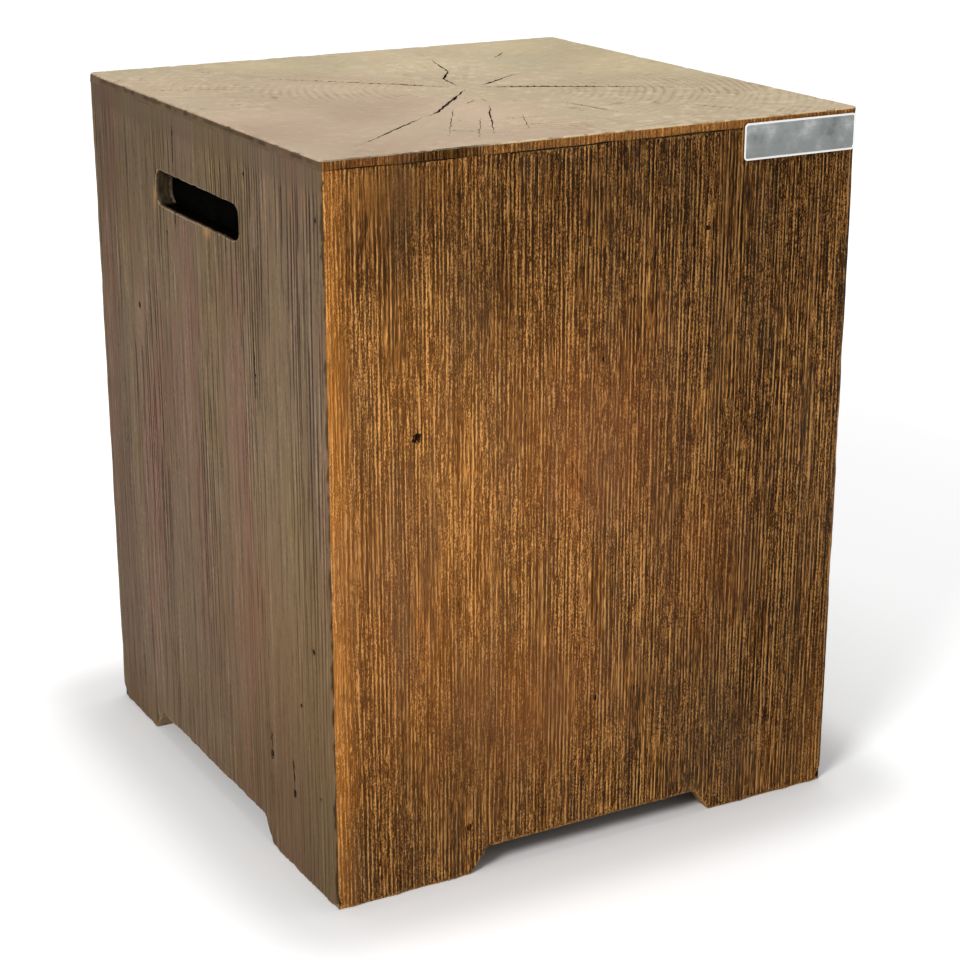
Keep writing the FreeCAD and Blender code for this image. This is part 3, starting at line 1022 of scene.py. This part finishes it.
def buildWall(side, look, feet, seed):
    columns = wallColumns(feet)
    rows = wallRows()
    facesFront = side in ("front", "back")
    turn = math.radians(wallTurns[side])
    footRound = wallShape["footRound"]
    shape, paint, columnOf, rowOf = newGrid(len(columns), len(rows))

    # What each column needs once: its arch, its hollow and its opening at the crease
    arches = [archHeight(x, feet) for x, y, angle in columns]
    hollows = [hollowAt(x) if facesFront else 0.0 for x, y, angle in columns]
    openings = [creaseOpening(x + halfSpan, look, seed) for x, y, angle in columns]

    def standing(i, j, drop):
        # The height of a point whose column bends round the arch and whose lip drops by this much at the top
        lip = max(0.0, rows[j] - wallShape["lipStart"]) / (rows[-1] - wallShape["lipStart"])
        return rows[j] + arches[i] * max(0.0, 1 - rows[j] / wallShape["archBlend"]) - drop * lip

    for vert in shape.verts:
        i = vert[columnOf]
        level = rows[vert[rowOf]]
        x, y, angle = columns[i]
        drop, uneven = wallShape["creaseDrop"]
        z = standing(i, vert[rowOf], openings[i] * (drop + uneven * wave(x * 24, seed, 2.2)))
        worldX, worldY, worldZ = turnedPoint(x, y, z, turn)
        along = x + halfSpan
        fromEnd = min(along, halfSpan - x)
        inland = eased(*wallShape["grainStart"], fromEnd)

        relief = look["relief"](x, z, seed, look)
        smear = min(spotted(along, z, look["smear"]), 1.0)
        if not facesFront:
            smear = max(smear, eased(0.480, 0.490, z + 0.006 * wave(x * 30, seed, 5.0)))
        width, broad, broadScale, fine, fineScale = wallShape["frontRag" if facesFront else "sideRag"]
        width += broad * wave(x * 12, z * broadScale, seed + 8) + fine * wave(x * 12, z * fineScale, seed + 9)
        chipped = eased(width, width - wallShape["chipBorder"], fromEnd)
        flat = onBadgeSeat(side, x, z)
        grain = relief * inland * (1 - 0.80 * smear) * (1 - flat)
        swell = look["swell"] * (0.5 + wave(x * 16, z * 12, seed + 61)) * inland
        depth = max(grain, 0.0) * look["depth"] + (hollows[i] + max(swell, 0.0)) * (1 - flat)
        depth += cornerWear(worldX, worldY, z) * eased(*wallShape["cornerReach"], fromEnd)
        edge = eased(wallShape["edgeReach"], 0.0, z - arches[i])
        depth += edge * (wallShape["edgeRound"] + ragged(worldX, worldY, worldZ, wallShape["edgeRagged"]))
        creaseEdge = openings[i] * eased(wallShape["creaseReach"], 0.0, rows[-1] - level)
        depth += creaseEdge * wallShape["creaseRound"]
        if level == 0:
            lift, uneven = wallShape["soleUnevenness"]
            z += lift + ragged(worldX, worldY, 0.3, uneven)
        z += wallShape["footLift"] * eased(footRound, 0.0, fromEnd) ** 2 * max(0.0, 1 - level / footRound)

        ends = 0.35 * (1 - chipped) if facesFront else 0.0
        brush(
            vert,
            paint,
            relief=min(grain + 0.25 * smear, 1.0),
            smear=smear if facesFront else max(smear, 1 - eased(0.0, 0.004, fromEnd)),
            tone=max(min(spotted(along, z, look["tone"]) - 0.62 * chipped, 0.5), -0.75),
            glow=min(spotted(along, z, look["glow"]) + 0.3 * edge, 1.0),
            blush=min(spotted(along, z, look["blush"]), 1.0),
            wear=max(0.55 * edge, ends * eased(0.006, 0.001, fromEnd), 0.5 * creaseEdge),
        )
        vert.co = turnedPoint(x - math.sin(angle) * depth, y + math.cos(angle) * depth, z, turn)

    # The edge of the face is carried inwards: over the lip, down to the panel's top, along the mitre to its
    # toe, back by half the glue gap and on to the inner face. Each ring has its depth, how far its ends are
    # set back, and whether it has left the lip.
    endX = columns[-1][0]
    halfBond = wallShape["bondGap"] / math.sqrt(2)
    toe = wallShape["toeDepth"]
    lip = wallShape["lipDepth"]
    border = [edge for edge in shape.edges if edge.is_boundary]
    for depth, setBack, belowLip in (
        (lip, 0.0, False),
        (lip + wallShape["lipStep"], 0.0, True),
        (toe, 0.0, True),
        (toe + wallShape["setBackStep"], halfBond, True),
        (wallThick, halfBond, True),
    ):
        made = bmesh.ops.extrude_edge_only(shape, edges=border)
        for vert in onlyVerts(made):
            i = vert[columnOf]
            x = columns[i][0]
            draw = max(0.0, 1 - (endX - abs(x)) / wallShape["endShift"])
            x -= math.copysign((endX - halfSpan + depth + setBack) * draw, x)
            drop = rows[-1] - wallTop if belowLip else openings[i] * wallShape["lipDrop"]
            z = standing(i, vert[rowOf], drop)
            vert.co = turnedPoint(x, -halfSpan + depth, z, turn)
        border = openEdges(made["geom"])
    inside = bmesh.ops.contextual_create(shape, geom=border)["faces"]
    for face in inside:
        face.material_index = 1
    bmesh.ops.recalc_face_normals(shape, faces=shape.faces)
    return shape


def finishPiece(piece, node):
    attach(piece, "root")
    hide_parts(node)


# Cutters: closed shapes drawn flat, x along the face, y up it and z out of it, then stood on their face


def onWall(side, x, z):
    # Puts a cutter at x from the wall's left end and z above the floor, facing outwards
    stand = Matrix.Translation((x - halfSpan, -halfSpan, z)) @ Matrix.Rotation(math.pi / 2, 4, "X")
    return Matrix.Rotation(math.radians(wallTurns[side]), 4, "Z") @ stand


def onTop(x, y):
    # Puts a cutter at x and y from the front left corner of the top
    return Matrix.Translation((x - halfSpan, y - halfSpan, topLevel))


def addCutter(shape, place, painting):
    paint = paintLayers(shape)
    for vert in shape.verts:
        brush(vert, paint, kept=1.0, **painting)
    bmesh.ops.recalc_face_normals(shape, faces=shape.faces)
    mesh = bpy.data.meshes.new("cutter")
    shape.to_mesh(mesh)
    shape.free()
    mesh.transform(place)
    return addObject("cutter", mesh)


def combine(piece, others, operation):
    # Cuts the others out of a piece, or joins them to it, and clears them away
    for other in others:
        modifier = piece.modifiers.new("combine", "BOOLEAN")
        modifier.operation = operation
        modifier.solver = "MANIFOLD"
        modifier.object = other
    graph = bpy.context.evaluated_depsgraph_get()
    mesh = bpy.data.meshes.new_from_object(piece.evaluated_get(graph))
    piece.modifiers.clear()
    old = piece.data
    piece.data = mesh
    bpy.data.meshes.remove(old)
    for other in others:
        bpy.data.objects.remove(other)


def carve(piece, cutters):
    # Cutters of one call may overlap each other, so they are joined first
    name = piece.data.name
    combine(cutters[0], cutters[1:], "UNION")
    combine(piece, cutters[:1], "DIFFERENCE")
    piece.data.name = name
    shape = bmesh.new()
    shape.from_mesh(piece.data)
    paint = paintLayers(shape)
    kept = paint.pop("kept")
    # A point made where two surfaces cross has no painting, and takes its neighbours'
    for vert in [v for v in shape.verts if v[kept] < 0.99]:
        around = [n for n in (edge.other_vert(vert) for edge in vert.link_edges) if n[kept] > 0.99]
        for layer in paint.values() if around else ():
            vert[layer] = sum(n[layer] for n in around) / len(around)
    for face in shape.faces:
        face.smooth = True
    shape.to_mesh(piece.data)
    shape.free()
    piece.data.set_sharp_from_angle(angle=math.radians(55))


def crackCutter(points, widths, depth, place, seed, painting, step=0.003):
    # A V-shaped split along a line of points, ragged and narrowing to its ends
    chance = random.Random(seed)
    line = []
    for start, end in zip(points, points[1:]):
        pieces = max(1, round((Vector(end) - Vector(start)).length / step))
        line += [Vector(start).lerp(Vector(end), i / pieces) for i in range(pieces)]
    line.append(Vector(points[-1]))
    last = len(line) - 1
    shape = bmesh.new()
    bmesh.ops.create_grid(shape, x_segments=last, y_segments=2, size=1.0)
    shifts = [chance.uniform(-crackJitter, crackJitter) for _ in line]
    halves = []
    for i in range(last + 1):
        share = i / last
        width = widths[0] + (widths[1] - widths[0]) * share
        narrowing = min(1.0, 4 * share + 0.15, 4 * (1 - share) + 0.08)
        halves.append(width / 2 * chance.uniform(0.65, 1.3) * narrowing)
    for vert in shape.verts:
        i = round((vert.co.x + 1) / 2 * last)
        across = round(vert.co.y)
        ahead = line[min(i + 1, last)] - line[max(i - 1, 0)]
        aside = Vector((-ahead.y, ahead.x)).normalized()
        spot = line[i] + aside * (shifts[i] + across * halves[i] * 1.5)
        low = -depth * min(1.0, halves[i] * 2 / max(widths))
        vert.co = (spot.x, spot.y, low if across == 0 else 0.5 * depth)
    made = bmesh.ops.extrude_face_region(shape, geom=shape.faces[:])
    for vert in onlyVerts(made):
        vert.co.z = depth
    return addCutter(shape, place, painting)


def holeCutter(radius, depth, place, seed, painting, squash=1.0):
    # A small ragged pit, such as a nail hole or a knot
    chance = random.Random(seed)
    shape = bmesh.new()
    sizes = {"radius1": radius * 0.55, "radius2": radius * 1.2, "depth": depth * 2}
    bmesh.ops.create_cone(shape, cap_ends=True, segments=14, **sizes)
    for vert in shape.verts:
        if abs(vert.co.x) + abs(vert.co.y) > 1e-6:
            rough = chance.uniform(0.8, 1.2)
            vert.co.x *= rough
            vert.co.y *= rough * squash
    return addCutter(shape, place, painting)


def quarterTurn(steps):
    # The sine and cosine at even steps of a quarter turn, for rounded edges
    angles = [math.pi / 2 * i / steps for i in range(1, steps + 1)]
    return [(math.sin(angle), math.cos(angle)) for angle in angles]


def roundedOutline(halfLong, halfHigh, radius, straightStep, cornerSteps=8):
    # Points round a rounded rectangle, each with the direction outwards from it
    outline = []
    for quarter, (signX, signY) in enumerate([(1, 1), (-1, 1), (-1, -1), (1, -1)]):
        centre = Vector((signX * (halfLong - radius), signY * (halfHigh - radius)))
        for i in range(cornerSteps + 1):
            angle = math.pi / 2 * (quarter + i / cornerSteps)
            outward = Vector((math.cos(angle), math.sin(angle)))
            outline.append((centre + outward * radius, outward))
        run = 2 * (halfLong - radius) if quarter % 2 == 0 else 2 * (halfHigh - radius)
        along = Vector((-outward.y, outward.x))
        start = outline[-1][0]
        outline += [(start + along * d, outward) for d in spread(0, run, straightStep)[1:]]
    return outline


def stackedRings(outline, stations, rough=0.0, seed=0.0):
    # A closed shape of rings: each station is how far its ring stands outside the outline and its level
    shape = bmesh.new()
    order = shape.verts.layers.int.new("order")
    made = bmesh.ops.create_circle(shape, segments=len(outline), radius=1.0)
    for i, vert in enumerate(made["verts"]):
        vert[order] = i
    first = ring = shape.edges[:]
    for number, (outside, level) in enumerate(stations):
        if number > 0:
            ring = openEdges(bmesh.ops.extrude_edge_only(shape, edges=ring)["geom"])
        for vert in {vert for edge in ring for vert in edge.verts}:
            point, outward = outline[vert[order]]
            x, y = point
            wobble = rough * (wave(x * 130, y * 130, seed) + 0.5 * wave(x * 420, y * 420, seed))
            spot = point + outward * (outside + wobble)
            vert.co = (spot.x, spot.y, level)
    bmesh.ops.contextual_create(shape, geom=first)
    bmesh.ops.contextual_create(shape, geom=ring)
    return shape


def slotCutter(side, seed):
    # A rounded rectangle through the wall, flared at both faces so that the rims are round
    halfLong = slotShape["length"] / 2
    outline = roundedOutline(halfLong, slotShape["height"] / 2, slotShape["radius"], slotShape["step"])
    rim = slotShape["rimRadius"]
    start = -slotShape["rimDepth"]
    past = slotShape["past"]
    stations = [(rim + past, past), (rim, start)]
    stations += [(rim * (1 - sine), start - rim * (1 - cosine)) for sine, cosine in quarterTurn(4)]
    stations += [(0.0, level) for level in (*slotShape["rings"], rim - wallThick)]
    stations += [(rim, -wallThick), (rim + past, -wallThick - past)]
    shape = stackedRings(outline, stations, slotShape["rough"], seed)
    paint = paintLayers(shape)
    for vert in shape.verts:
        # Painted shade: black inside, but for the end that is turned to the front, which keeps some of its
        # stain and a pale inner lip. The rim is painted pale, worn and partly a painted highlight.
        inwards = -vert.co.z
        shown = eased(0.010, 0.003, vert.co.x + halfLong)
        wear = 0.60 * eased(0.0015, 0.0009, inwards) + 0.85 * shown * eased(0.0122, 0.0128, inwards)
        brush(vert, paint, wear=wear, tone=(0.40 * shown - 0.985) * eased(0.0008, 0.0030, inwards))
    return addCutter(shape, onWall(side, halfSpan, topLevel - slotShape["belowTop"]), {"relief": 0.35})


crackJitter = 0.0005          # how far a crack strays from its line

# Width, depth and painting of each kind of line cut into the walls; the splits are painted dark inside,
# painted shade with some dark stain
wallCuts = {
    "scratches": (0.0011, 0.0013, {"relief": 0.75, "tone": -0.15}),
    "scrapes": (0.0012, 0.0005, {"relief": -0.45, "tone": 0.15}),
    "splits": (0.0018, 0.0024, {"relief": 2.0, "tone": -1.6}),
}
pitPainting = {"relief": 1.1, "tone": -0.30}


def wallCutters(side, look, seed):
    cutters = [slotCutter(side, seed)] if side in ("left", "right") else []
    for number, (x, z, radius, squash) in enumerate(look["pits"]):
        place = onWall(side, x, z)
        cutters.append(holeCutter(radius, radius * 0.9, place, f"{side} pit {number}", pitPainting, squash))
    for kind, (width, depth, painting) in wallCuts.items():
        for number, line in enumerate(look[kind]):
            name = f"{side} {kind} {number}"
            widths = (width, width * 0.7)
            cutters.append(crackCutter(line, widths, depth, onWall(side, 0, 0), name, painting))
    return cutters


# Top slab, whose lower part drops between the walls

slabShape = {
    "cornerRadius": 0.006,
    "arris": 0.0015,
    "arrisSteps": 4,
    "gridStep": 0.0015,
    "cornerSteps": 4,
    "rimRows": 6,
    "clearance": 0.001,       # between the lower part and the walls
    "stepRadius": 0.004,
    "pith": (0.209, 0.200),   # the middle of the growth rings, from the front left corner
    "ringPitch": 0.0062,
    "clearRings": [(0.335, 0.130, 0.075, 0.075, 1.0), (0.115, 0.215, 0.050, 0.050, 0.9)],
    "ringDepth": 0.00007,
    "swell": 0.0004,
    "chipDepth": 0.0010,
    "rimRagged": 0.00035,
    "rimLift": 0.00065,       # of the rim's lower edge on the front and back, where it is uneven
    # The cracks are painted dark on their walls: painted shade, with some dark stain
    "crackStainAndShade": {"relief": 6.0, "tone": -1.2},
    "crackStep": 0.0055,
}

# Splits in the top, as points from its front left corner, with the width at the start and end, and the depth
slabSplits = {
    "broad": (
        [(0.209, 0.199), (0.185, 0.170), (0.146, 0.123), (0.135, 0.113), (0.126, 0.1085)],
        (0.0022, 0.0028), 0.0036,
    ),
    "tail": (
        [(0.128, 0.1095), (0.114, 0.097), (0.085, 0.072), (0.061, 0.050), (0.037, 0.032)],
        (0.0023, 0.0011), 0.0024,
    ),
    "backLeft": (
        [(0.206, 0.209), (0.174, 0.246), (0.150, 0.268), (0.128, 0.290), (0.100, 0.314)],
        (0.0048, 0.0024), 0.0028,
    ),
    "right": (
        [(0.218, 0.202), (0.248, 0.189), (0.271, 0.177), (0.313, 0.153), (0.361, 0.123)],
        (0.0050, 0.0026), 0.0028,
    ),
    "back": ([(0.210, 0.211), (0.217, 0.247), (0.237, 0.277), (0.255, 0.339)], (0.0022, 0.0012), 0.0020),
    "middle": (
        [(0.227, 0.208), (0.244, 0.219), (0.266, 0.236), (0.282, 0.245)],
        (0.0028, 0.0014), 0.0026,
    ),
    "far": ([(0.304, 0.324), (0.326, 0.348)], (0.0018, 0.0010), 0.0016),
    "front": ([(0.190, 0.130), (0.175, 0.104), (0.140, 0.036), (0.137, 0.031)], (0.0015, 0.0009), 0.0018),
    "frontRight": ([(0.240, 0.117), (0.244, 0.099), (0.251, 0.058)], (0.0020, 0.0010), 0.0020),
    "rightFront": ([(0.310, 0.065), (0.326, 0.040), (0.335, 0.020)], (0.0015, 0.0008), 0.0016),
    "leftBack": ([(0.007, 0.303), (0.043, 0.286)], (0.0020, 0.0010), 0.0016),
    "backCorner": ([(0.071, 0.369), (0.0835, 0.359)], (0.0018, 0.0009), 0.0014),
    "left": ([(0.029, 0.215), (0.046, 0.2145)], (0.0016, 0.0009), 0.0014),
    "fineA": ([(0.165, 0.136), (0.134, 0.083), (0.104, 0.030)], (0.0008, 0.0005), 0.0009),
    "fineB": ([(0.159, 0.088), (0.120, 0.020)], (0.0008, 0.0005), 0.0009),
    "fineC": ([(0.189, 0.084), (0.167, 0.038)], (0.0008, 0.0005), 0.0009),
    "fineD": ([(0.134, 0.094), (0.145, 0.079)], (0.0014, 0.0009), 0.0009),
    "fineE": ([(0.172, 0.0765), (0.206, 0.0745)], (0.0016, 0.0009), 0.0009),
    "fineF": ([(0.116, 0.058), (0.134, 0.043)], (0.0015, 0.0009), 0.0009),
    "fineG": ([(0.160, 0.050), (0.194, 0.050)], (0.0015, 0.0009), 0.0009),
    "fineH": ([(0.178, 0.142), (0.191, 0.153)], (0.0012, 0.0008), 0.0009),
}


def slabPoint(x, y, reach, radius):
    # A point of the top's grid drawn out to a rounded square of this reach and corner radius
    core = halfSpan - slabShape["cornerRadius"]
    corner = slabShape["cornerRadius"] - slabShape["arris"]
    outX = max(abs(x) - core, 0.0) / corner
    outY = max(abs(y) - core, 0.0) / corner
    placeX = min(abs(x) / core, 1.0) * (reach - radius) + radius * outX * math.sqrt(1 - outY ** 2 / 2)
    placeY = min(abs(y) / core, 1.0) * (reach - radius) + radius * outY * math.sqrt(1 - outX ** 2 / 2)
    return math.copysign(placeX, x), math.copysign(placeY, y)


def ringRelief(x, y):
    # Growth rings about the pith, which show in some places more than in others. 0 high, 1 low.
    outX = x - slabShape["pith"][0] + halfSpan
    outY = y - slabShape["pith"][1] + halfSpan
    away = math.hypot(outX, outY)
    turn = math.atan2(outY, outX)
    away += 0.010 * wave(math.cos(turn) * 1.6, math.sin(turn) * 1.6, 4.0) + 0.003 * wave(x * 24, y * 24, 6.0)
    ring = 0.5 + 0.5 * math.sin(away / slabShape["ringPitch"] * math.tau + 4.0 * wave(away * 45, 0.3, 7.0))
    ring *= 0.85 + 0.5 * wave(x * 38, y * 38, 31.0)
    shown = eased(0.0, 0.45, wave(x * 8, y * 8, 12.0))
    shown += spotted(x + halfSpan, y + halfSpan, slabShape["clearRings"])
    shown = min(shown, 1.0) * eased(0.02, 0.06, away)
    return max(ring, 0.0) ** 2.2 * shown


def slabTicks():
    core = halfSpan - slabShape["cornerRadius"]
    edge = halfSpan - slabShape["arris"]
    fine = (edge - core) / slabShape["cornerSteps"]
    ticks = [*spread(-edge, -core, fine), *spread(-core, core, slabShape["gridStep"])]
    return [*ticks, *spread(core, edge, fine), edge]


def slabLevels():
    # Each ring below the top: its reach, its corner radius and its level
    arris = slabShape["arris"]
    corner = slabShape["cornerRadius"]
    rings = []
    for sine, cosine in quarterTurn(slabShape["arrisSteps"]):
        out = arris * sine
        rings.append((halfSpan - arris + out, corner - arris + out, topLevel - arris * (1 - cosine)))
    rows = slabShape["rimRows"]
    start = topLevel - arris
    rings += [(halfSpan, corner, start - (start - seatLevel) * i / rows) for i in range(1, rows + 1)]
    stepReach = halfSpan - wallThick - slabShape["clearance"]
    return rings + [(stepReach, slabShape["stepRadius"], level) for level in (seatLevel, slabUnderside)]


def rimChips(x, y):
    # How far the slab's edge is broken back here, less so at the back and on the right
    share = 1.0 if x + y < 0 else 0.35
    broken = eased(0.10, 0.55, wave(x * 75, y * 75, 2.7) + 0.35 * wave(x * 300, y * 300, 1.1))
    return share * slabShape["chipDepth"] * broken


def paintRim(vert, paint, x, y, z):
    # The slab's rim is stained as the wall under it. On the front it is painted darker towards its lower
    # edge, as shade above the crease; on the other sides it is painted darker all over, as shade under the
    # top's edge, with a darker line just below the top. Its top edge is painted pale: worn, and partly a
    # painted highlight.
    facing = abs(y) > abs(x)
    onFront = y < -abs(x)
    along = x + halfSpan
    below = topLevel - z
    grain = eased(-0.35, 0.45, wave(x * 160, y * 160, z * 260))
    patches = wave(x * 38, y * 38, z * 60)
    relief = 0.15 + 0.50 * grain if facing else 0.12 + 0.12 * grain
    brush(vert, paint, relief=relief, smear=0.55 if facing else 1.0)
    if onFront:
        # Painted shade above the crease
        low = eased(0.004, 0.008, below)
        stain = math.exp(-(((along - 0.082) / 0.016) ** 2))
        tone = -0.55 * stain - 0.12 - 0.22 * eased(0.13, 0.07, along) + 0.30 * patches - 0.15 * low
        glow = 0.45 * eased(0.12, 0.20, along) * (1 - 0.5 * low)
        brush(vert, paint, blush=0.35 * eased(0.09, 0.03, along), glow=glow, tone=max(tone, -0.68))
        # A pale arris, worn and partly a painted highlight
        shine = 0.75 * eased(0.09, 0.14, along)
    else:
        edge = eased(0.0008, 0.0022, below) * eased(0.0048, 0.0030, below)
        edge *= eased(-0.3, 0.3, wave(x * 90, y * 90, 6.1))
        # Painted shade under the top's edge, with a darker line just below it
        brush(vert, paint, tone=-0.28 + 0.12 * patches - 0.34 * edge)
        shine = 0.35
    brush(vert, paint, wear=shine * eased(0.0022, 0.0006, below))


def buildSlab():
    ticks = slabTicks()
    shape, paint, columnOf, rowOf = newGrid(len(ticks), len(ticks))
    arris = slabShape["arris"]
    for vert in shape.verts:
        place = ticks[vert[columnOf]], ticks[vert[rowOf]]
        x, y = slabPoint(*place, halfSpan - arris, slabShape["cornerRadius"] - arris)
        inland = min(halfSpan - abs(x), halfSpan - abs(y))
        ring = ringRelief(x, y)
        swell = slabShape["swell"] * eased(-0.6, 0.6, wave(x * 7, y * 7, 9.0)) * eased(0.002, 0.02, inland)
        chip = rimChips(x, y) * eased(0.0045, 0.0015, inland)
        tone = 0.12 * wave(x * 14, y * 14, 27.0) - 0.05 * eased(0.12, -0.05, y)
        tone -= 0.09 * eased(0.02, -0.14, x) + 0.25 * min(chip / slabShape["chipDepth"], 1.0)
        brush(
            vert,
            paint,
            relief=0.42 * ring,
            glow=eased(-0.10, 0.30, (x + y) * 1.1 + 0.25 * wave(x * 6, y * 6, 21.0)),
            blush=eased(0.02, -0.25, x * 0.9 + y * 0.7 + 0.22 * wave(x * 7, y * 7, 25.0)),
            tone=tone,
            # A pale band along the top's edges: wear, and partly a painted highlight on the arris
            wear=0.45 * eased(0.004, 0.0015, inland),
        )
        vert.co = (x, y, topLevel - ring * slabShape["ringDepth"] - swell - chip)

    border = [edge for edge in shape.edges if edge.is_boundary]
    for reach, radius, level in slabLevels():
        made = bmesh.ops.extrude_edge_only(shape, edges=border)
        for vert in onlyVerts(made):
            place = ticks[vert[columnOf]], ticks[vert[rowOf]]
            x, y = slabPoint(*place, reach, radius)
            z = level
            if reach > halfSpan - arris:
                paintRim(vert, paint, x, y, z)
                back = rimChips(x, y) * eased(0.004, 0.0, topLevel - z)
                back += ragged(x, y, z, slabShape["rimRagged"])
                if abs(z - seatLevel) < 1e-6 and abs(y) > abs(x):
                    z += slabShape["rimLift"] * eased(0.0, 0.6, wave(x * 42, y * 42, 5.1))
                x, y = slabPoint(*place, reach - back, radius)
                z -= rimChips(x, y) * eased(0.0016, 0.0, topLevel - z)
            vert.co = (x, y, z)
        border = openEdges(made["geom"])
    bmesh.ops.contextual_create(shape, geom=border)
    bmesh.ops.recalc_face_normals(shape, faces=shape.faces)
    for face in shape.faces:
        middle = face.calc_center_median()
        if middle.z < seatLevel + 0.0001 or face.normal.z < -0.8:
            face.material_index = 3
        elif middle.z < topLevel - 0.6 * arris:
            face.material_index = 1 if abs(middle.y) > abs(middle.x) else 2
    return shape


def slabCutters():
    painting, step = slabShape["crackStainAndShade"], slabShape["crackStep"]
    return [crackCutter(*split, onTop(0, 0), name, painting, step) for name, split in slabSplits.items()]


# Badge: a blank dished metal plate with a raised rim

badgeShape = {
    "radius": 0.003,
    "rim": 0.0016,
    "edge": 0.00035,
    "dish": 0.0004,
    "step": 0.004,            # between the points of its outline
}


def buildBadge():
    size = badgeHigh - badgeLow
    thick = size.y
    outline = roundedOutline(size.x / 2, size.z / 2, badgeShape["radius"], badgeShape["step"])
    edge = badgeShape["edge"]
    rim = badgeShape["rim"]
    dish = badgeShape["dish"]
    stations = [(0.0, 0.0), (0.0, thick - edge)]
    stations += [(edge * (cosine - 1), thick - edge * (1 - sine)) for sine, cosine in quarterTurn(4)]
    for share in (0.0, 0.25, 0.5, 0.75, 1.0):
        stations.append((-rim * 0.7 - rim * 0.3 * share, thick - dish * eased(0.0, 1.0, share)))
    shape = stackedRings(outline, stations)
    bmesh.ops.recalc_face_normals(shape, faces=shape.faces)
    polish = shape.verts.layers.float.new("wear")
    for vert in shape.verts:
        vert[polish] = eased(thick - dish * 0.9, thick - dish * 0.4, vert.co.z)
    middle = (badgeLow + badgeHigh) / 2
    stand = Matrix.Translation((middle.x, badgeHigh.y, middle.z)) @ Matrix.Rotation(math.pi / 2, 4, "X")
    bmesh.ops.transform(shape, matrix=stand, verts=shape.verts)
    return shape


setCamera(photoView)
setWorld(studio)
for name, (place, size, power) in studio["lamps"].items():
    addLamp(name, place, size, power)
layFloor(studio)
print("camera, lamps and floor set")

castFront = makeCastFront(frontFinish)
castSide = makeCastSide(sideFinish)
castTop = makeCastTop(topFinish)
rawCast = makeRawCast(rawFinish)
print("cast finishes made")

for side, look, feet, seed in (
    ("front", frontLook, wallShape["endFeet"], 2.0),
    ("back", backLook, wallShape["endFeet"], 31.0),
    ("left", leftLook, wallShape["leftFeet"], 57.0),
    ("right", rightLook, wallShape["leftFeet"][::-1], 83.0),
):
    facesFront = side in ("front", "back")
    shape = buildWall(side, look, feet, seed)
    panel = addPiece(side + "_panel", shape, [castFront if facesFront else castSide, rawCast])
    carve(panel, wallCutters(side, look, seed))
    finishPiece(panel, side + "_wall")
    print(side, "panel", len(panel.data.polygons), "faces")

slab = addPiece("slab", buildSlab(), [castTop, castFront, castSide, rawCast])
carve(slab, slabCutters())
finishPiece(slab, "top_slab")
print("slab", len(slab.data.polygons), "faces")

badge = addPiece("badge", buildBadge(), [makeMetal("badgeMetal", badgeFinish)], sharpAngle=35)
finishPiece(badge, "badge_plate")

hiddenFinishes = (
    (makeBedding("slabBedding", beddingFinish), ("slab_bed",)),
    (makeBedding("mitreBedding", bondFinish), ("mitre_bond",)),
    (makeGalvanised(galvanisedFinish), ("corner_angle", "top_cleat")),
    (makeMetal("screwSteel", screwFinish), ("corner_screws", "cleat_wall_screws", "slab_screws")),
    (makeMetal("insertBrass", brassFinish), ("corner_inserts", "cleat_wall_inserts", "slab_inserts")),
    (makeFoam(foamFinish), ("badge_pad",)),
)
for material, starts in hiddenFinishes:
    for name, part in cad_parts.items():
        if name.startswith(starts):
            part.data.materials.clear()
            part.data.materials.append(material)
print("hidden parts finished")
